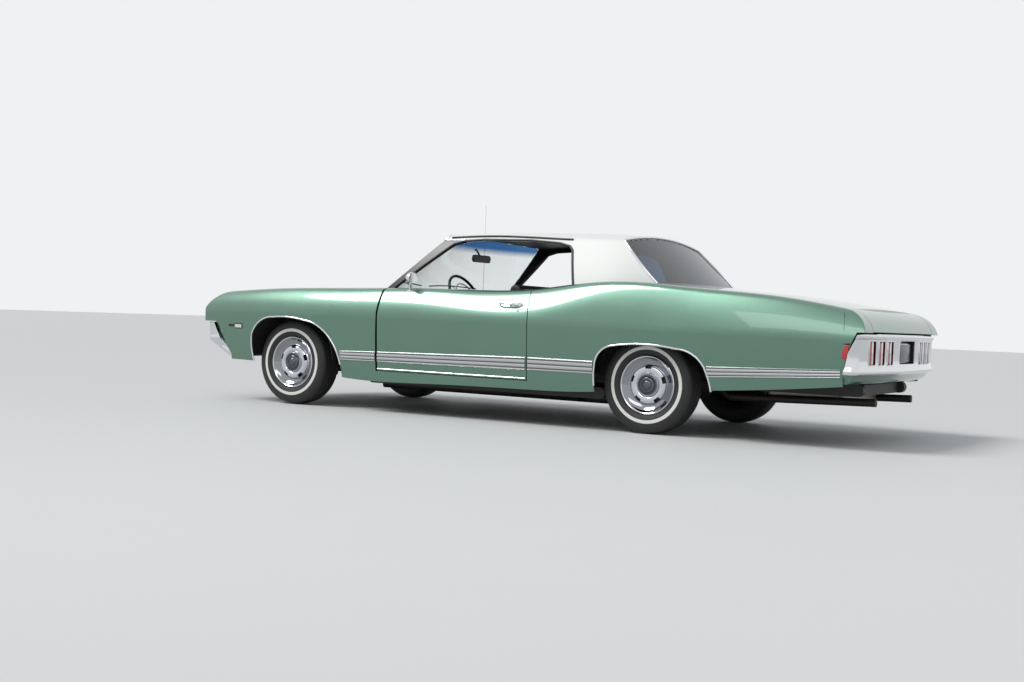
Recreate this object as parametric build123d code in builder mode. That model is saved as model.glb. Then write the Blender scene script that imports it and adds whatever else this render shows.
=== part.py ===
from build123d import *
from collections import namedtuple
from math import asin, atan2, cos, degrees, hypot, radians, sin
import os

# Full-size two-door hardtop car of the late 1960s, standing on its tyres.
# Millimetres. +X points forward, +Y to the car's left, +Z up.
# The origin is on the ground, half way along the car's length and on its centre plane.

# Overall sizes
car_length = 5453
car_width = 2022
front_overhang = 935.4
wheelbase = 3022.6
nose_x = car_length / 2
tail_x = -car_length / 2
front_axle_x = nose_x - front_overhang
rear_axle_x = front_axle_x - wheelbase

# Wheels and tyres
track = 1586
tyre_radius = 328
tyre_width = 208
hub_z = tyre_radius
rim_radius = 196
rim_wall = 10
rim_width = 170
bead_radius = rim_radius + 0.3
spindle_radius = 20
spindle_length = 60
running_gap = 0.1

# Panels, gaps and hinges
skin = 25
door_wall = 110
quarter_wall = 60
roof_wall = 30
glass_wall = 6
panel_gap = 6
seat_gap = 0.3
door_front_x = 902
door_rear_low_x = -363
door_rear_top_x = -295
door_low_z = 312
sill_low_z = 236
door_hinge_x = 850
door_hinge_y = 960
door_hinge_radius = 79
hinge_pin_radius = 9
hinge_pin_play = 0.3

# Cabin and glass
windshield_low = (951, 700, 978)
windshield_rake = 37.2
windshield_bow = 170
rear_glass_low = (-1184, 636, 1046)
rear_glass_rake = 44
rear_glass_bow = 50

# Cross-sections of the lower body, from nose to tail. Each row gives the half width and
# height of the side crease, the hip, the top edge, the crown on the centre plane and the sill.
Station = namedtuple("Station", "x crease_y crease_z hip_y hip_z top_y top_z crown_z sill_y sill_z")
BODY = [
    Station(2726, 925, 700, 868, 822, 810, 838, 848, 890, 318),
    Station(2387, 955, 712, 893, 848, 835, 868, 882, 915, 322),
    Station(1791, 990, 714, 915, 880, 860, 902, 916, 950, 300),
    Station(1185, 1004, 720, 925, 893, 870, 916, 938, 965, sill_low_z),
    Station(455, 1011, 721, 927, 903, 875, 928, 950, 972, sill_low_z),
    Station(-345, 1011, 719, 927, 890, 874, 944, 970, 972, 246),
    Station(-812, 1011, 710, 928, 965, 878, 1003, 1020, 970, 258),
    Station(-1168, 1010, 705, 922, 985, 872, 1009, 1030, 965, 290),
    Station(-1545, 1005, 702, 910, 962, 858, 983, 1004, 960, 312),
    Station(-2123, 982, 699, 892, 922, 838, 942, 956, 940, 352),
    Station(-2726, 935, 680, 862, 826, 800, 846, 858, 900, 412),
]

# Cross-sections of the cabin above the belt
Roof = namedtuple("Roof", "x crown_z gutter_y gutter_z base_y")
CABIN = [
    Roof(1255, 1290, 685, 1250, 872),
    Roof(555, 1360, 685, 1308, 874),
    Roof(55, 1384, 688, 1325, 876),
    Roof(-445, 1383, 686, 1308, 878),
    Roof(-705, 1376, 678, 1300, 872),
    Roof(-960, 1350, 662, 1286, 846),
    Roof(-1345, 1290, 610, 1220, 700),
]
cabin_base_z = 880

os.makedirs("parts", exist_ok=True)


def section_plane(x):
    """Plane across the car at x, with local x along +Y and local y along +Z."""
    return Plane(origin=(x, 0, 0), x_dir=(0, 1, 0), z_dir=(1, 0, 0))


def crown_middle(half_width, edge_z, crown_z):
    """Point half way along the arc that rises from an edge to the crown."""
    rise = crown_z - edge_z
    radius = (half_width**2 + rise**2) / (2 * rise)
    half_angle = asin(half_width / radius) / 2
    return radius * sin(half_angle), crown_z - radius + radius * cos(half_angle)


def body_hull(inset, drop=0):
    """Lower body inside its outer surface by inset, with its underside lowered by drop."""
    with BuildPart() as hull:
        for s in BODY:
            crease = (s.crease_y - inset, s.crease_z)
            hip = (s.hip_y - inset, s.hip_z - inset / 2)
            top = (s.top_y - inset, s.top_z - inset)
            crown = (0, s.crown_z - inset)
            sill = (s.sill_y - inset, s.sill_z - drop)
            with BuildSketch(section_plane(s.x)):
                with BuildLine():
                    Line((0, s.sill_z - drop), sill)
                    lower_bulge = ((sill[0] + crease[0]) / 2 + 6, (sill[1] + crease[1]) / 2)
                    ThreePointArc(sill, lower_bulge, crease)
                    upper_bulge = ((crease[0] + hip[0]) / 2 + 9, (crease[1] + hip[1]) / 2 + 5)
                    ThreePointArc(crease, upper_bulge, hip)
                    shoulder = ((hip[0] + top[0]) / 2 + 4, (hip[1] + top[1]) / 2 + 6)
                    ThreePointArc(hip, shoulder, top)
                    ThreePointArc(top, crown_middle(top[0], top[1], crown[1]), crown)
                    mirror(about=Plane.YZ)
                make_face()
        loft()
    return hull.part


def cabin_hull(inset):
    """Cabin above the belt inside its outer surface by inset."""
    with BuildPart() as hull:
        for r in CABIN:
            gutter = (r.gutter_y - inset, r.gutter_z - inset / 2)
            edge = (r.gutter_y - 45 - inset / 2, r.gutter_z + 20 - inset)
            base = (r.base_y - inset, cabin_base_z)
            with BuildSketch(section_plane(r.x)):
                with BuildLine():
                    Line((0, cabin_base_z), base)
                    bulge = ((base[0] + gutter[0]) / 2 + 14, (base[1] + gutter[1]) / 2 + 6)
                    ThreePointArc(base, bulge, gutter)
                    corner = ((gutter[0] + edge[0]) / 2 + 5, (gutter[1] + edge[1]) / 2 + 6)
                    ThreePointArc(gutter, corner, edge)
                    ThreePointArc(edge, crown_middle(edge[0], edge[1], r.crown_z - inset), (0, r.crown_z - inset))
                    mirror(about=Plane.YZ)
                make_face()
        loft()
    return hull.part



def side_block(outline, low_y, high_y):
    """Prism on an outline of (x, z) points, from low_y to high_y."""
    with BuildPart() as block:
        with BuildSketch(Plane.XZ.offset(-low_y)):
            with BuildLine():
                Polyline(*outline, close=True)
            make_face()
        extrude(amount=low_y - high_y)
    return block.part


def plan_block(outline, low_z, high_z):
    """Prism on an outline of (x, y) points, from low_z to high_z."""
    with BuildPart() as block:
        with BuildSketch(Plane.XY.offset(low_z)):
            with BuildLine():
                Polyline(*outline, close=True)
            make_face()
        extrude(amount=high_z - low_z)
    return block.part


def arc_block(start, arcs, low_y, high_y):
    """Prism on an outline of arcs in (x, z), closed by one straight line."""
    with BuildPart() as block:
        with BuildSketch(Plane.XZ.offset(-low_y)):
            with BuildLine():
                point = start
                for middle, end in arcs:
                    ThreePointArc(point, middle, end)
                    point = end
                Line(point, start)
            make_face()
        extrude(amount=low_y - high_y)
    return block.part


def mirrored(part):
    """Copy of a left-hand piece for the right-hand side."""
    with BuildPart() as copy:
        mirror(part, about=Plane.XZ)
    return copy.part


def save(part, name):
    part.label = name
    export_step(part, f"parts/{name}.step")


# Ends of the body in side view
half_span = car_width / 2 + 40


def body_ends(inset):
    """Prism that keeps the body between its nose and tail curves, inside them by inset."""
    with BuildPart() as ends:
        with BuildSketch(Plane.XZ):
            with BuildLine():
                low_tail = (-2688 + inset, 100)
                tail = (-2690 + inset, 722)
                tail_bend = (-2647 + inset, 819 - inset / 2)
                deck_end = (-2548, 882 - inset)
                hood_end = (2455, 867 - inset)
                nose_bend = (2588 - inset, 806 - inset / 2)
                nose = (2668 - inset, 722)
                low_nose = (2656 - inset, 100)
                Line(low_tail, tail)
                ThreePointArc(tail, tail_bend, deck_end)
                Polyline(deck_end, (-2480, 1150), (2355, 1150), hood_end)
                ThreePointArc(hood_end, nose_bend, nose)
                Polyline(nose, low_nose, low_tail)
            make_face()
        extrude(amount=half_span, both=True)
    return ends.part


def body_solid(inset):
    hull = body_hull(inset, 150 if inset else 0)
    ends = body_ends(min(inset, skin))
    with BuildPart() as body:
        add(hull)
        add(ends, mode=Mode.INTERSECT)
    return body.part


body_outer = body_solid(0)
body_inner_skin = body_solid(skin)
body_inner_quarter = body_solid(quarter_wall)
body_inner_door = body_solid(door_wall)

with BuildPart() as panel_shell:
    add(body_outer)
    add(body_inner_skin, mode=Mode.SUBTRACT)

# Wheel arches in side view
front_arch = arc_block(
    (1246, 200),
    [
        ((1277, 410), (1355, 533)),
        ((1455, 612), (1610, 657)),
        ((1755, 675), (1915, 671)),
        ((2065, 628), (2147, 530)),
        ((2153, 440), (2080, 200)),
    ],
    560,
    half_span,
)
rear_arch = arc_block(
    (-913, 150),
    [
        ((-881, 330), (-891, 462)),
        ((-927, 532), (-1005, 577)),
        ((-1235, 599), (-1475, 579)),
        ((-1605, 540), (-1670, 470)),
        ((-1703, 380), (-1709, 150)),
    ],
    560,
    half_span,
)

# Bumper zones in side view, which the body panels leave free
front_bumper_side = [
    (2760, 612),
    (2546, 612),
    (2474, 477),
    (2388, 364),
    (2395, 338),
    (2496, 340),
    (2640, 400),
    (2760, 470),
]
rear_bumper_side = [
    (-2644, 716),
    (-2700, 728),
    (-2760, 728),
    (-2760, 470),
    (-2566, 462),
    (-2593, 605),
]
front_bumper_zone = side_block(
    [(2800, 617), (2541, 617), (2468, 479), (2381, 364), (2381, 300), (2800, 300)], -half_span, half_span
)
rear_bumper_zone = side_block(
    [(-2639, 733), (-2800, 733), (-2800, 300), (-2560, 300), (-2560, 464), (-2587, 605)], -half_span, half_span
)
fascia_half = 872
fascia_opening = side_block([(2455, 600), (2800, 600), (2800, 806), (2455, 806)], -fascia_half, fascia_half)

# Hood, trunk lid and their hinge lines
hood_hinge_x = 1285
hood_hinge_z = 908
hood_edge_radius = 40
hood_half_rear = 700
hood_half_front = 770
trunk_hinge_x = -1585
trunk_hinge_z = 972
trunk_half_front = 700
trunk_half_rear = 745
trunk_low_z = 738
lid_pin_radius = 7
lid_pin_play = 0.3
cowl_half = 740
cabin_half = 790
deck_front_x = -1165


def cross_cylinder(x, z, radius):
    """Cylinder across the whole car about a transverse hinge line."""
    with BuildPart() as bar:
        with BuildSketch(Plane.XZ):
            with Locations((x, z)):
                Circle(radius)
        extrude(amount=half_span, both=True)
    return bar.part


hood_outline = [
    (hood_hinge_x, hood_half_rear),
    (nose_x, hood_half_front),
    (nose_x, -hood_half_front),
    (hood_hinge_x, -hood_half_rear),
]
hood_zone = plan_block(hood_outline, 780, 1000)
hood_edge = cross_cylinder(hood_hinge_x, hood_hinge_z, hood_edge_radius)
hood_clear = cross_cylinder(hood_hinge_x, hood_hinge_z, hood_edge_radius + panel_gap)
hood_edge_zone = plan_block(
    [
        (hood_hinge_x - 60, hood_half_rear),
        (hood_hinge_x, hood_half_rear),
        (hood_hinge_x, -hood_half_rear),
        (hood_hinge_x - 60, -hood_half_rear),
    ],
    780,
    1000,
)
with BuildPart() as hood_rear_roll:
    add(hood_edge)
    add(hood_edge_zone, mode=Mode.INTERSECT)

with BuildPart() as hood_space:
    add(hood_zone)
    add(hood_rear_roll.part)
hood_cut = plan_block(
    [
        (hood_hinge_x, hood_half_rear + panel_gap),
        (nose_x + 20, hood_half_front + panel_gap),
        (nose_x + 20, -hood_half_front - panel_gap),
        (hood_hinge_x, -hood_half_rear - panel_gap),
    ],
    700,
    1000,
)
hood_roll_cut_zone = plan_block(
    [
        (hood_hinge_x - 80, hood_half_rear + panel_gap),
        (hood_hinge_x, hood_half_rear + panel_gap),
        (hood_hinge_x, -hood_half_rear - panel_gap),
        (hood_hinge_x - 80, -hood_half_rear - panel_gap),
    ],
    780,
    1000,
)
with BuildPart() as hood_roll_cut:
    add(hood_clear)
    add(hood_roll_cut_zone, mode=Mode.INTERSECT)

with BuildPart() as hood:
    add(panel_shell.part)
    add(hood_space.part, mode=Mode.INTERSECT)
    add(fascia_opening, mode=Mode.SUBTRACT)
    for side in (1, -1):
        pin_plane = Plane.XZ.offset(-side * (hood_half_rear - 40))
        with BuildSketch(pin_plane):
            with Locations((hood_hinge_x, hood_hinge_z)):
                Circle(lid_pin_radius + lid_pin_play)
        extrude(amount=-side * 60, mode=Mode.SUBTRACT)
save(hood.part, "hood")

# Trunk lid, turning up about its front edge
trunk_outline = [
    (trunk_hinge_x, trunk_half_front),
    (tail_x, trunk_half_rear),
    (tail_x, -trunk_half_rear),
    (trunk_hinge_x, -trunk_half_front),
]
trunk_zone = plan_block(trunk_outline, trunk_low_z, 1100)
trunk_cut = plan_block(
    [
        (trunk_hinge_x, trunk_half_front + panel_gap),
        (tail_x, trunk_half_rear + panel_gap),
        (tail_x, -trunk_half_rear - panel_gap),
        (trunk_hinge_x, -trunk_half_front - panel_gap),
    ],
    trunk_low_z - panel_gap,
    1100,
)
with BuildPart() as trunk_front_roll:
    add(cross_cylinder(trunk_hinge_x, trunk_hinge_z, hood_edge_radius))
    with BuildSketch(Plane.XY.offset(880)):
        with Locations((trunk_hinge_x + 30, 0)):
            Rectangle(60, 2 * trunk_half_front)
    extrude(amount=200, mode=Mode.INTERSECT)
with BuildPart() as trunk_roll_cut:
    add(cross_cylinder(trunk_hinge_x, trunk_hinge_z, hood_edge_radius + panel_gap))
    with BuildSketch(Plane.XY.offset(860)):
        with Locations((trunk_hinge_x + 40, 0)):
            Rectangle(80, 2 * (trunk_half_front + panel_gap))
    extrude(amount=240, mode=Mode.INTERSECT)
with BuildPart() as trunk_space:
    add(trunk_zone)
    add(trunk_front_roll.part)

with BuildPart() as trunk_lid:
    add(panel_shell.part)
    add(trunk_space.part, mode=Mode.INTERSECT)
    for side in (1, -1):
        with BuildSketch(Plane.XZ.offset(-side * (trunk_half_front - 40))):
            with Locations((trunk_hinge_x, trunk_hinge_z)):
                Circle(lid_pin_radius + lid_pin_play)
        extrude(amount=-side * 60, mode=Mode.SUBTRACT)
save(trunk_lid.part, "trunk_lid")

# Doors: the front edge is part of a cylinder about the hinge, so that it turns in the fender
door_side = side_block(
    [
        (door_rear_low_x, door_low_z),
        (1100, door_low_z),
        (1100, 1100),
        (door_rear_top_x, 1100),
        (door_rear_low_x, 730),
    ],
    775,
    half_span,
)
with BuildPart() as door_plan:
    with BuildSketch(Plane.XY.offset(200)):
        with Locations(((door_hinge_x - 700), 900)):
            Rectangle(1400, 400)
        with Locations(((door_front_x - 300), 800)):
            Rectangle(600, 200)
        with Locations((door_hinge_x, door_hinge_y)):
            Circle(door_hinge_radius)
    extrude(amount=900)
strap_heights = (430, 740)
strap_height = 60
strap_pocket_radius = 130
strap_thick = 16
strap_angle = -60
notch_x = 812
notch_y = 872
notch_z = 898
with BuildPart() as door_left:
    add(body_outer)
    add(body_inner_door, mode=Mode.SUBTRACT)
    add(door_side, mode=Mode.INTERSECT)
    add(door_plan.part, mode=Mode.INTERSECT)
    for z in strap_heights:
        with BuildSketch(Plane.XY.offset(z - panel_gap)):
            with Locations((door_hinge_x, door_hinge_y)):
                Circle(strap_pocket_radius)
            with Locations((door_hinge_x, 1100)):
                Rectangle(400, 2 * (1100 - (car_width / 2 - skin)), mode=Mode.SUBTRACT)
        extrude(amount=strap_height + 2 * panel_gap, mode=Mode.SUBTRACT)
        with BuildSketch(Plane.XY.offset(z - 30)):
            with Locations((door_hinge_x, door_hinge_y)):
                Circle(hinge_pin_radius + hinge_pin_play)
        extrude(amount=strap_height + 60, mode=Mode.SUBTRACT)
    with BuildSketch(Plane.XY.offset(notch_z)):
        with Locations(((notch_x + 1000) / 2, (700 + notch_y) / 2)):
            Rectangle(1000 - notch_x, notch_y - 700)
    extrude(amount=200, mode=Mode.SUBTRACT)
save(door_left.part, "door_left")
door_right = mirrored(door_left.part)
save(door_right, "door_right")

# Hinge straps and pins, standing on the pillar ahead of each door
pillar_x = door_front_x + 12
with BuildPart() as hinge_straps:
    for z in strap_heights:
        with BuildSketch(Plane.XY.offset(z)):
            with BuildLine():
                reach = 110
                Polyline(
                    (door_hinge_x, door_hinge_y),
                    (
                        door_hinge_x + reach * cos(radians(strap_angle)),
                        door_hinge_y + reach * sin(radians(strap_angle)),
                    ),
                    (pillar_x, 850),
                )
                offset(amount=strap_thick / 2)
            make_face()
        extrude(amount=strap_height)
        with BuildSketch(Plane.XY.offset(z - 20)):
            with Locations((door_hinge_x, door_hinge_y)):
                Circle(hinge_pin_radius)
        extrude(amount=strap_height + 40)

# Front fenders
cowl_back_x = 862
cowl_seat_x = 972
cowl_seat_half = 858
cowl_low_z = 858


def cowl_outline(play):
    """Plan of the cowl, which is wider where the windshield pillars stand on it."""
    left = [
        (cowl_back_x, cowl_seat_half + play),
        (cowl_seat_x + play, cowl_seat_half + play),
        (cowl_seat_x + play, cowl_half + play),
        (hood_hinge_x - hood_edge_radius - panel_gap + play, cowl_half + play),
    ]
    return left + [(x, -y) for x, y in reversed(left)]


cowl_zone = plan_block(cowl_outline(seat_gap), 780, 1100)
with BuildPart() as fender_space:
    with BuildSketch(Plane.XY.offset(150)):
        with Locations(((nose_x + door_front_x + 8) / 2, half_span / 2)):
            Rectangle(nose_x - door_front_x - 8, half_span)
        with Locations((door_hinge_x, door_hinge_y)):
            Circle(door_hinge_radius + panel_gap, mode=Mode.SUBTRACT)
    extrude(amount=900)
with BuildPart() as front_fender_left:
    add(panel_shell.part)
    add(fender_space.part, mode=Mode.INTERSECT)
    add(front_arch, mode=Mode.SUBTRACT)
    add(hood_cut, mode=Mode.SUBTRACT)
    add(hood_roll_cut.part, mode=Mode.SUBTRACT)
    add(cowl_zone, mode=Mode.SUBTRACT)
    add(front_bumper_zone, mode=Mode.SUBTRACT)
    add(fascia_opening, mode=Mode.SUBTRACT)
    with BuildSketch(Plane.XY.offset(150)):
        with Locations((1205, 700)):
            Rectangle(600, 900)
    extrude(amount=door_low_z - panel_gap - 150 + seat_gap, mode=Mode.SUBTRACT)
    with BuildSketch(Plane.XZ.offset(-(hood_half_rear - 30))):
        with Locations((hood_hinge_x, hood_hinge_z)):
            Circle(lid_pin_radius)
    extrude(amount=-60)
save(front_fender_left.part, "front_fender_left")
front_fender_right = mirrored(front_fender_left.part)
save(front_fender_right, "front_fender_right")

# Quarter panels with their rockers
sill_top_z = door_low_z - panel_gap
rocker_front_x = 1242
quarter_outline = [
    (door_rear_low_x - panel_gap, 100),
    (door_rear_low_x - panel_gap, 730),
    (door_rear_top_x - panel_gap, 1100),
    (tail_x, 1100),
    (tail_x, 100),
]
quarter_zone = side_block(quarter_outline, 0, half_span)
cabin_zone = plan_block(
    [
        (deck_front_x, cabin_half),
        (1200, cabin_half),
        (1200, -cabin_half),
        (deck_front_x, -cabin_half),
    ],
    450,
    1100,
)
deck_cut = plan_block(
    [
        (deck_front_x, cabin_half),
        (deck_front_x - 60, trunk_half_front + panel_gap),
        (trunk_hinge_x, trunk_half_front + panel_gap),
        (trunk_hinge_x, -trunk_half_front - panel_gap),
        (deck_front_x - 60, -trunk_half_front - panel_gap),
        (deck_front_x, -cabin_half),
    ],
    850,
    1100,
)
rear_clear_half = 880
rear_clear = plan_block(
    [
        (-2445, 0),
        (-2445, rear_clear_half),
        (tail_x, rear_clear_half),
        (tail_x, 0),
    ],
    100,
    trunk_low_z - panel_gap,
)
with BuildPart() as rocker_left:
    add(body_outer)
    with BuildSketch(Plane.XY.offset(100)):
        with Locations(((rocker_front_x - 1145) / 2, 920)):
            Rectangle(rocker_front_x + 1145, 140)
    extrude(amount=sill_top_z - 100, mode=Mode.INTERSECT)
    add(rear_arch, mode=Mode.SUBTRACT)
with BuildPart() as body_side_left:
    add(body_outer)
    add(body_inner_quarter, mode=Mode.SUBTRACT)
    add(quarter_zone, mode=Mode.INTERSECT)
    add(rear_arch, mode=Mode.SUBTRACT)
    add(trunk_cut, mode=Mode.SUBTRACT)
    add(trunk_roll_cut.part, mode=Mode.SUBTRACT)
    add(deck_cut, mode=Mode.SUBTRACT)
    add(cabin_zone, mode=Mode.SUBTRACT)
    add(rear_bumper_zone, mode=Mode.SUBTRACT)
    add(rear_clear, mode=Mode.SUBTRACT)
    add(rocker_left.part)
    with BuildSketch(Plane.XZ.offset(-(trunk_half_front - 30))):
        with Locations((trunk_hinge_x, trunk_hinge_z)):
            Circle(lid_pin_radius)
    extrude(amount=-60)
save(body_side_left.part, "body_side_left")
body_side_right = mirrored(body_side_left.part)
save(body_side_right, "body_side_right")

# Panel between the rear window and the trunk lid
with BuildPart() as rear_deck_panel:
    add(panel_shell.part)
    with BuildSketch(Plane.XY.offset(850)):
        with BuildLine():
            Polyline(
                (deck_front_x, cabin_half - seat_gap),
                (deck_front_x - 60, trunk_half_front + panel_gap - seat_gap),
                (trunk_hinge_x + 20, trunk_half_front + panel_gap - seat_gap),
                (trunk_hinge_x + 20, -trunk_half_front - panel_gap + seat_gap),
                (deck_front_x - 60, -trunk_half_front - panel_gap + seat_gap),
                (deck_front_x, -cabin_half + seat_gap),
                close=True,
            )
        make_face()
    extrude(amount=250, mode=Mode.INTERSECT)
    add(trunk_roll_cut.part, mode=Mode.SUBTRACT)
save(rear_deck_panel.part, "rear_deck_panel")

# Glass surfaces: an arc in plan, extruded along the slope of the glass


def glass_prism(low_corner, bow, rake, inset, depth, low_z, high_z):
    """Curved slab square to the centre plane; its outer face is inset from the glass line.

    The corner is (x, y, z); bow is how far the middle stands out beyond it, towards +X or -X.
    Rake is the slope above the horizontal, in degrees, leaning inward as it rises."""
    x, y, z = low_corner
    way = 1 if bow > 0 else -1
    shift = (z - low_z) / sin(radians(rake))
    slope = (-way * cos(radians(rake)), 0, sin(radians(rake)))
    start_x = x - slope[0] * shift - way * inset / sin(radians(rake))
    wide = 1000
    sagitta = abs(bow)
    radius = (y**2 + sagitta**2) / (2 * sagitta)
    wide_drop = radius - (radius**2 - wide**2) ** 0.5
    face = start_x + way * sagitta
    back = way * depth / sin(radians(rake))
    with BuildPart() as slab:
        with BuildSketch(Plane.XY.offset(low_z)):
            with BuildLine():
                left = (face - way * wide_drop, wide)
                right = (face - way * wide_drop, -wide)
                ThreePointArc(left, (face, 0), right)
                Line(right, (right[0] - back, right[1]))
                ThreePointArc((right[0] - back, right[1]), (face - back, 0), (left[0] - back, left[1]))
                Line((left[0] - back, left[1]), left)
            make_face()
        extrude(amount=(high_z - low_z) / sin(radians(rake)), dir=slope)
    return slab.part


frame_cut_front = glass_prism(windshield_low, windshield_bow, windshield_rake, -900, 900, 850, 1450)
frame_cut_rear = glass_prism(rear_glass_low, -rear_glass_bow, rear_glass_rake, -900, 900, 850, 1450)
glass_slab_front = glass_prism(windshield_low, windshield_bow, windshield_rake, 8, glass_wall, 850, 1450)
glass_slab_rear = glass_prism(rear_glass_low, -rear_glass_bow, rear_glass_rake, 6, glass_wall, 850, 1450)

cabin_outer = cabin_hull(0)
cabin_inner = cabin_hull(roof_wall)
glass_border = roof_wall + seat_gap
cabin_glass = cabin_hull(glass_border)
windshield_roof_z = 1292
pillar_split_x = 355
side_window = side_block(
    [
        (865, 860),
        (860, 930),
        (779, 998),
        (445, 1262),
        (355, 1286),
        (184, 1297),
        (-202, 1294),
        (-435, 1276),
        (-523, 1254),
        (-551, 1225),
        (-623, 985),
        (-635, 860),
    ],
    500,
    half_span,
)
with BuildPart() as cabin_shell:
    add(cabin_outer)
    add(cabin_inner, mode=Mode.SUBTRACT)
    add(frame_cut_front, mode=Mode.SUBTRACT)
    add(frame_cut_rear, mode=Mode.SUBTRACT)
    add(side_window, mode=Mode.SUBTRACT)
    add(mirrored(side_window), mode=Mode.SUBTRACT)
    add(body_outer, mode=Mode.SUBTRACT)
pillar_zone = side_block(
    [(pillar_split_x, 800), (1400, 800), (1400, windshield_roof_z), (pillar_split_x, windshield_roof_z)],
    -half_span,
    half_span,
)
with BuildPart() as roof:
    add(cabin_shell.part)
    add(pillar_zone, mode=Mode.SUBTRACT)
with BuildPart() as front_pillars:
    add(cabin_shell.part)
    add(pillar_zone, mode=Mode.INTERSECT)
with BuildPart() as windshield:
    add(cabin_glass)
    add(glass_slab_front, mode=Mode.INTERSECT)
    add(body_outer, mode=Mode.SUBTRACT)
with BuildPart() as rear_window:
    add(cabin_glass)
    add(glass_slab_rear, mode=Mode.INTERSECT)
    add(body_outer, mode=Mode.SUBTRACT)
save(roof.part, "roof")
save(windshield.part, "windshield")
save(rear_window.part, "rear_window")

# Cowl, door pillars and windshield pillars, in one frame
pillar_low_z = sill_top_z + seat_gap
pillar_top_z = 870
with BuildPart() as windshield_frame:
    add(body_outer)
    with BuildSketch(Plane.XY.offset(cowl_low_z)):
        with BuildLine():
            Polyline(*cowl_outline(0), close=True)
        make_face()
    extrude(amount=250, mode=Mode.INTERSECT)
    add(hood_roll_cut.part, mode=Mode.SUBTRACT)
    with BuildSketch(Plane.XY.offset(800)):
        for side in (1, -1):
            with Locations(((cowl_back_x + door_front_x) / 2, side * 800)):
                Rectangle(door_front_x - cowl_back_x + 2 * panel_gap, 300)
    extrude(amount=notch_z + panel_gap - 800, mode=Mode.SUBTRACT)
    for side in (1, -1):
        with BuildSketch(Plane.XY.offset(pillar_low_z)):
            with Locations(((pillar_x + cowl_seat_x) / 2, side * (cowl_half + 872) / 2)):
                Rectangle(cowl_seat_x - pillar_x, 872 - cowl_half)
        extrude(amount=pillar_top_z - pillar_low_z)
    add(front_pillars.part)
    add(hinge_straps.part)
    add(mirrored(hinge_straps.part))
save(windshield_frame.part, "windshield_frame")

front_rail_y = 460
front_rail_end = 2300
bracket_front_x = front_rail_end + 40 + seat_gap
bracket_half = 30
lens_back_x = -2628
tail_panel_x = -2616

# Bumpers: bowed chrome bars that wrap round to the sides
bumper_wall = 22


def bumper_bar(side_outline, tip_x, end_x, corner_x, corner_y, wrap_x, wrap_y):
    """Bowed bar inside a side outline. Its plan runs from the wrapped end, round the corner, to the tip."""
    zone = side_block(side_outline, -half_span, half_span)
    with BuildPart() as bar:
        with BuildSketch(Plane.XY.offset(250)):
            with BuildLine():
                way = 1 if tip_x > 0 else -1
                middle = (wrap_x + way * 0.72 * abs(corner_x - wrap_x), corner_y + 0.7 * (wrap_y - corner_y))
                Line((end_x, -wrap_y), (end_x, wrap_y))
                Line((end_x, wrap_y), (wrap_x, wrap_y))
                ThreePointArc((wrap_x, wrap_y), middle, (corner_x, corner_y))
                ThreePointArc((corner_x, corner_y), (tip_x, 0), (corner_x, -corner_y))
                ThreePointArc((corner_x, -corner_y), (middle[0], -middle[1]), (wrap_x, -wrap_y))
                Line((wrap_x, -wrap_y), (end_x, -wrap_y))
            make_face()
            offset(amount=-bumper_wall, mode=Mode.SUBTRACT)
        extrude(amount=600)
        add(zone, mode=Mode.INTERSECT)
    return bar.part


front_bumper = bumper_bar(front_bumper_side, nose_x, 2200, 2655, 880, 2500, 980)
rear_bumper = bumper_bar(rear_bumper_side, tail_x, -2400, -2668, 885, -2590, 988)
lamp_centres = (385, 545, 705)
lamp_width = 120
lamp_low_z = 545
lamp_high_z = 675
with BuildPart() as rear_bumper_cut:
    add(rear_bumper)
    with BuildSketch(Plane.YZ.offset(tail_x)):
        for y in lamp_centres:
            with Locations((y, (lamp_low_z + lamp_high_z) / 2), (-y, (lamp_low_z + lamp_high_z) / 2)):
                RectangleRounded(lamp_width, lamp_high_z - lamp_low_z, 18)
        with Locations((0, (lamp_low_z + lamp_high_z) / 2)):
            RectangleRounded(330, lamp_high_z - lamp_low_z, 12)
    extrude(amount=300, mode=Mode.SUBTRACT)
    for y in (240, -240):
        with BuildSketch(Plane.YZ.offset(-2705)):
            with Locations((y, 610)):
                Rectangle(2 * bracket_half, 80)
        extrude(amount=2705 + tail_panel_x - seat_gap)

with BuildPart() as front_bumper_fitted:
    add(front_bumper)
    for y in (front_rail_y, -front_rail_y):
        add(
            side_block(
                [
                    (bracket_front_x, 300),
                    (bracket_front_x + 20, 300),
                    (bracket_front_x + 20, 445),
                    (2700, 445),
                    (2700, 480),
                    (bracket_front_x, 480),
                ],
                y - bracket_half,
                y + bracket_half,
            )
        )
save(front_bumper_fitted.part, "front_bumper")
save(rear_bumper_cut.part, "rear_bumper")

# Lamps of the tail, three on each side on one base
with BuildPart() as tail_lamp_left:
    with BuildSketch(Plane.YZ.offset(lens_back_x)):
        with Locations(((lamp_centres[0] + lamp_centres[2]) / 2, (lamp_low_z + lamp_high_z) / 2)):
            Rectangle(lamp_centres[2] - lamp_centres[0] + lamp_width + 30, lamp_high_z - lamp_low_z + 30)
    extrude(amount=tail_panel_x - seat_gap - lens_back_x)
    with BuildSketch(Plane.YZ.offset(lens_back_x)):
        for y in lamp_centres:
            with Locations((y, (lamp_low_z + lamp_high_z) / 2)):
                RectangleRounded(lamp_width - 8, lamp_high_z - lamp_low_z - 8, 16)
    extrude(amount=-62)
save(tail_lamp_left.part, "tail_lamp_left")
save(mirrored(tail_lamp_left.part), "tail_lamp_right")

with BuildPart() as tail_panel:
    with BuildSketch(Plane.YZ.offset(tail_panel_x)):
        with Locations((0, 598)):
            Rectangle(2 * (rear_clear_half - seat_gap), 250)
    extrude(amount=16)
save(tail_panel.part, "tail_panel")

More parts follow.
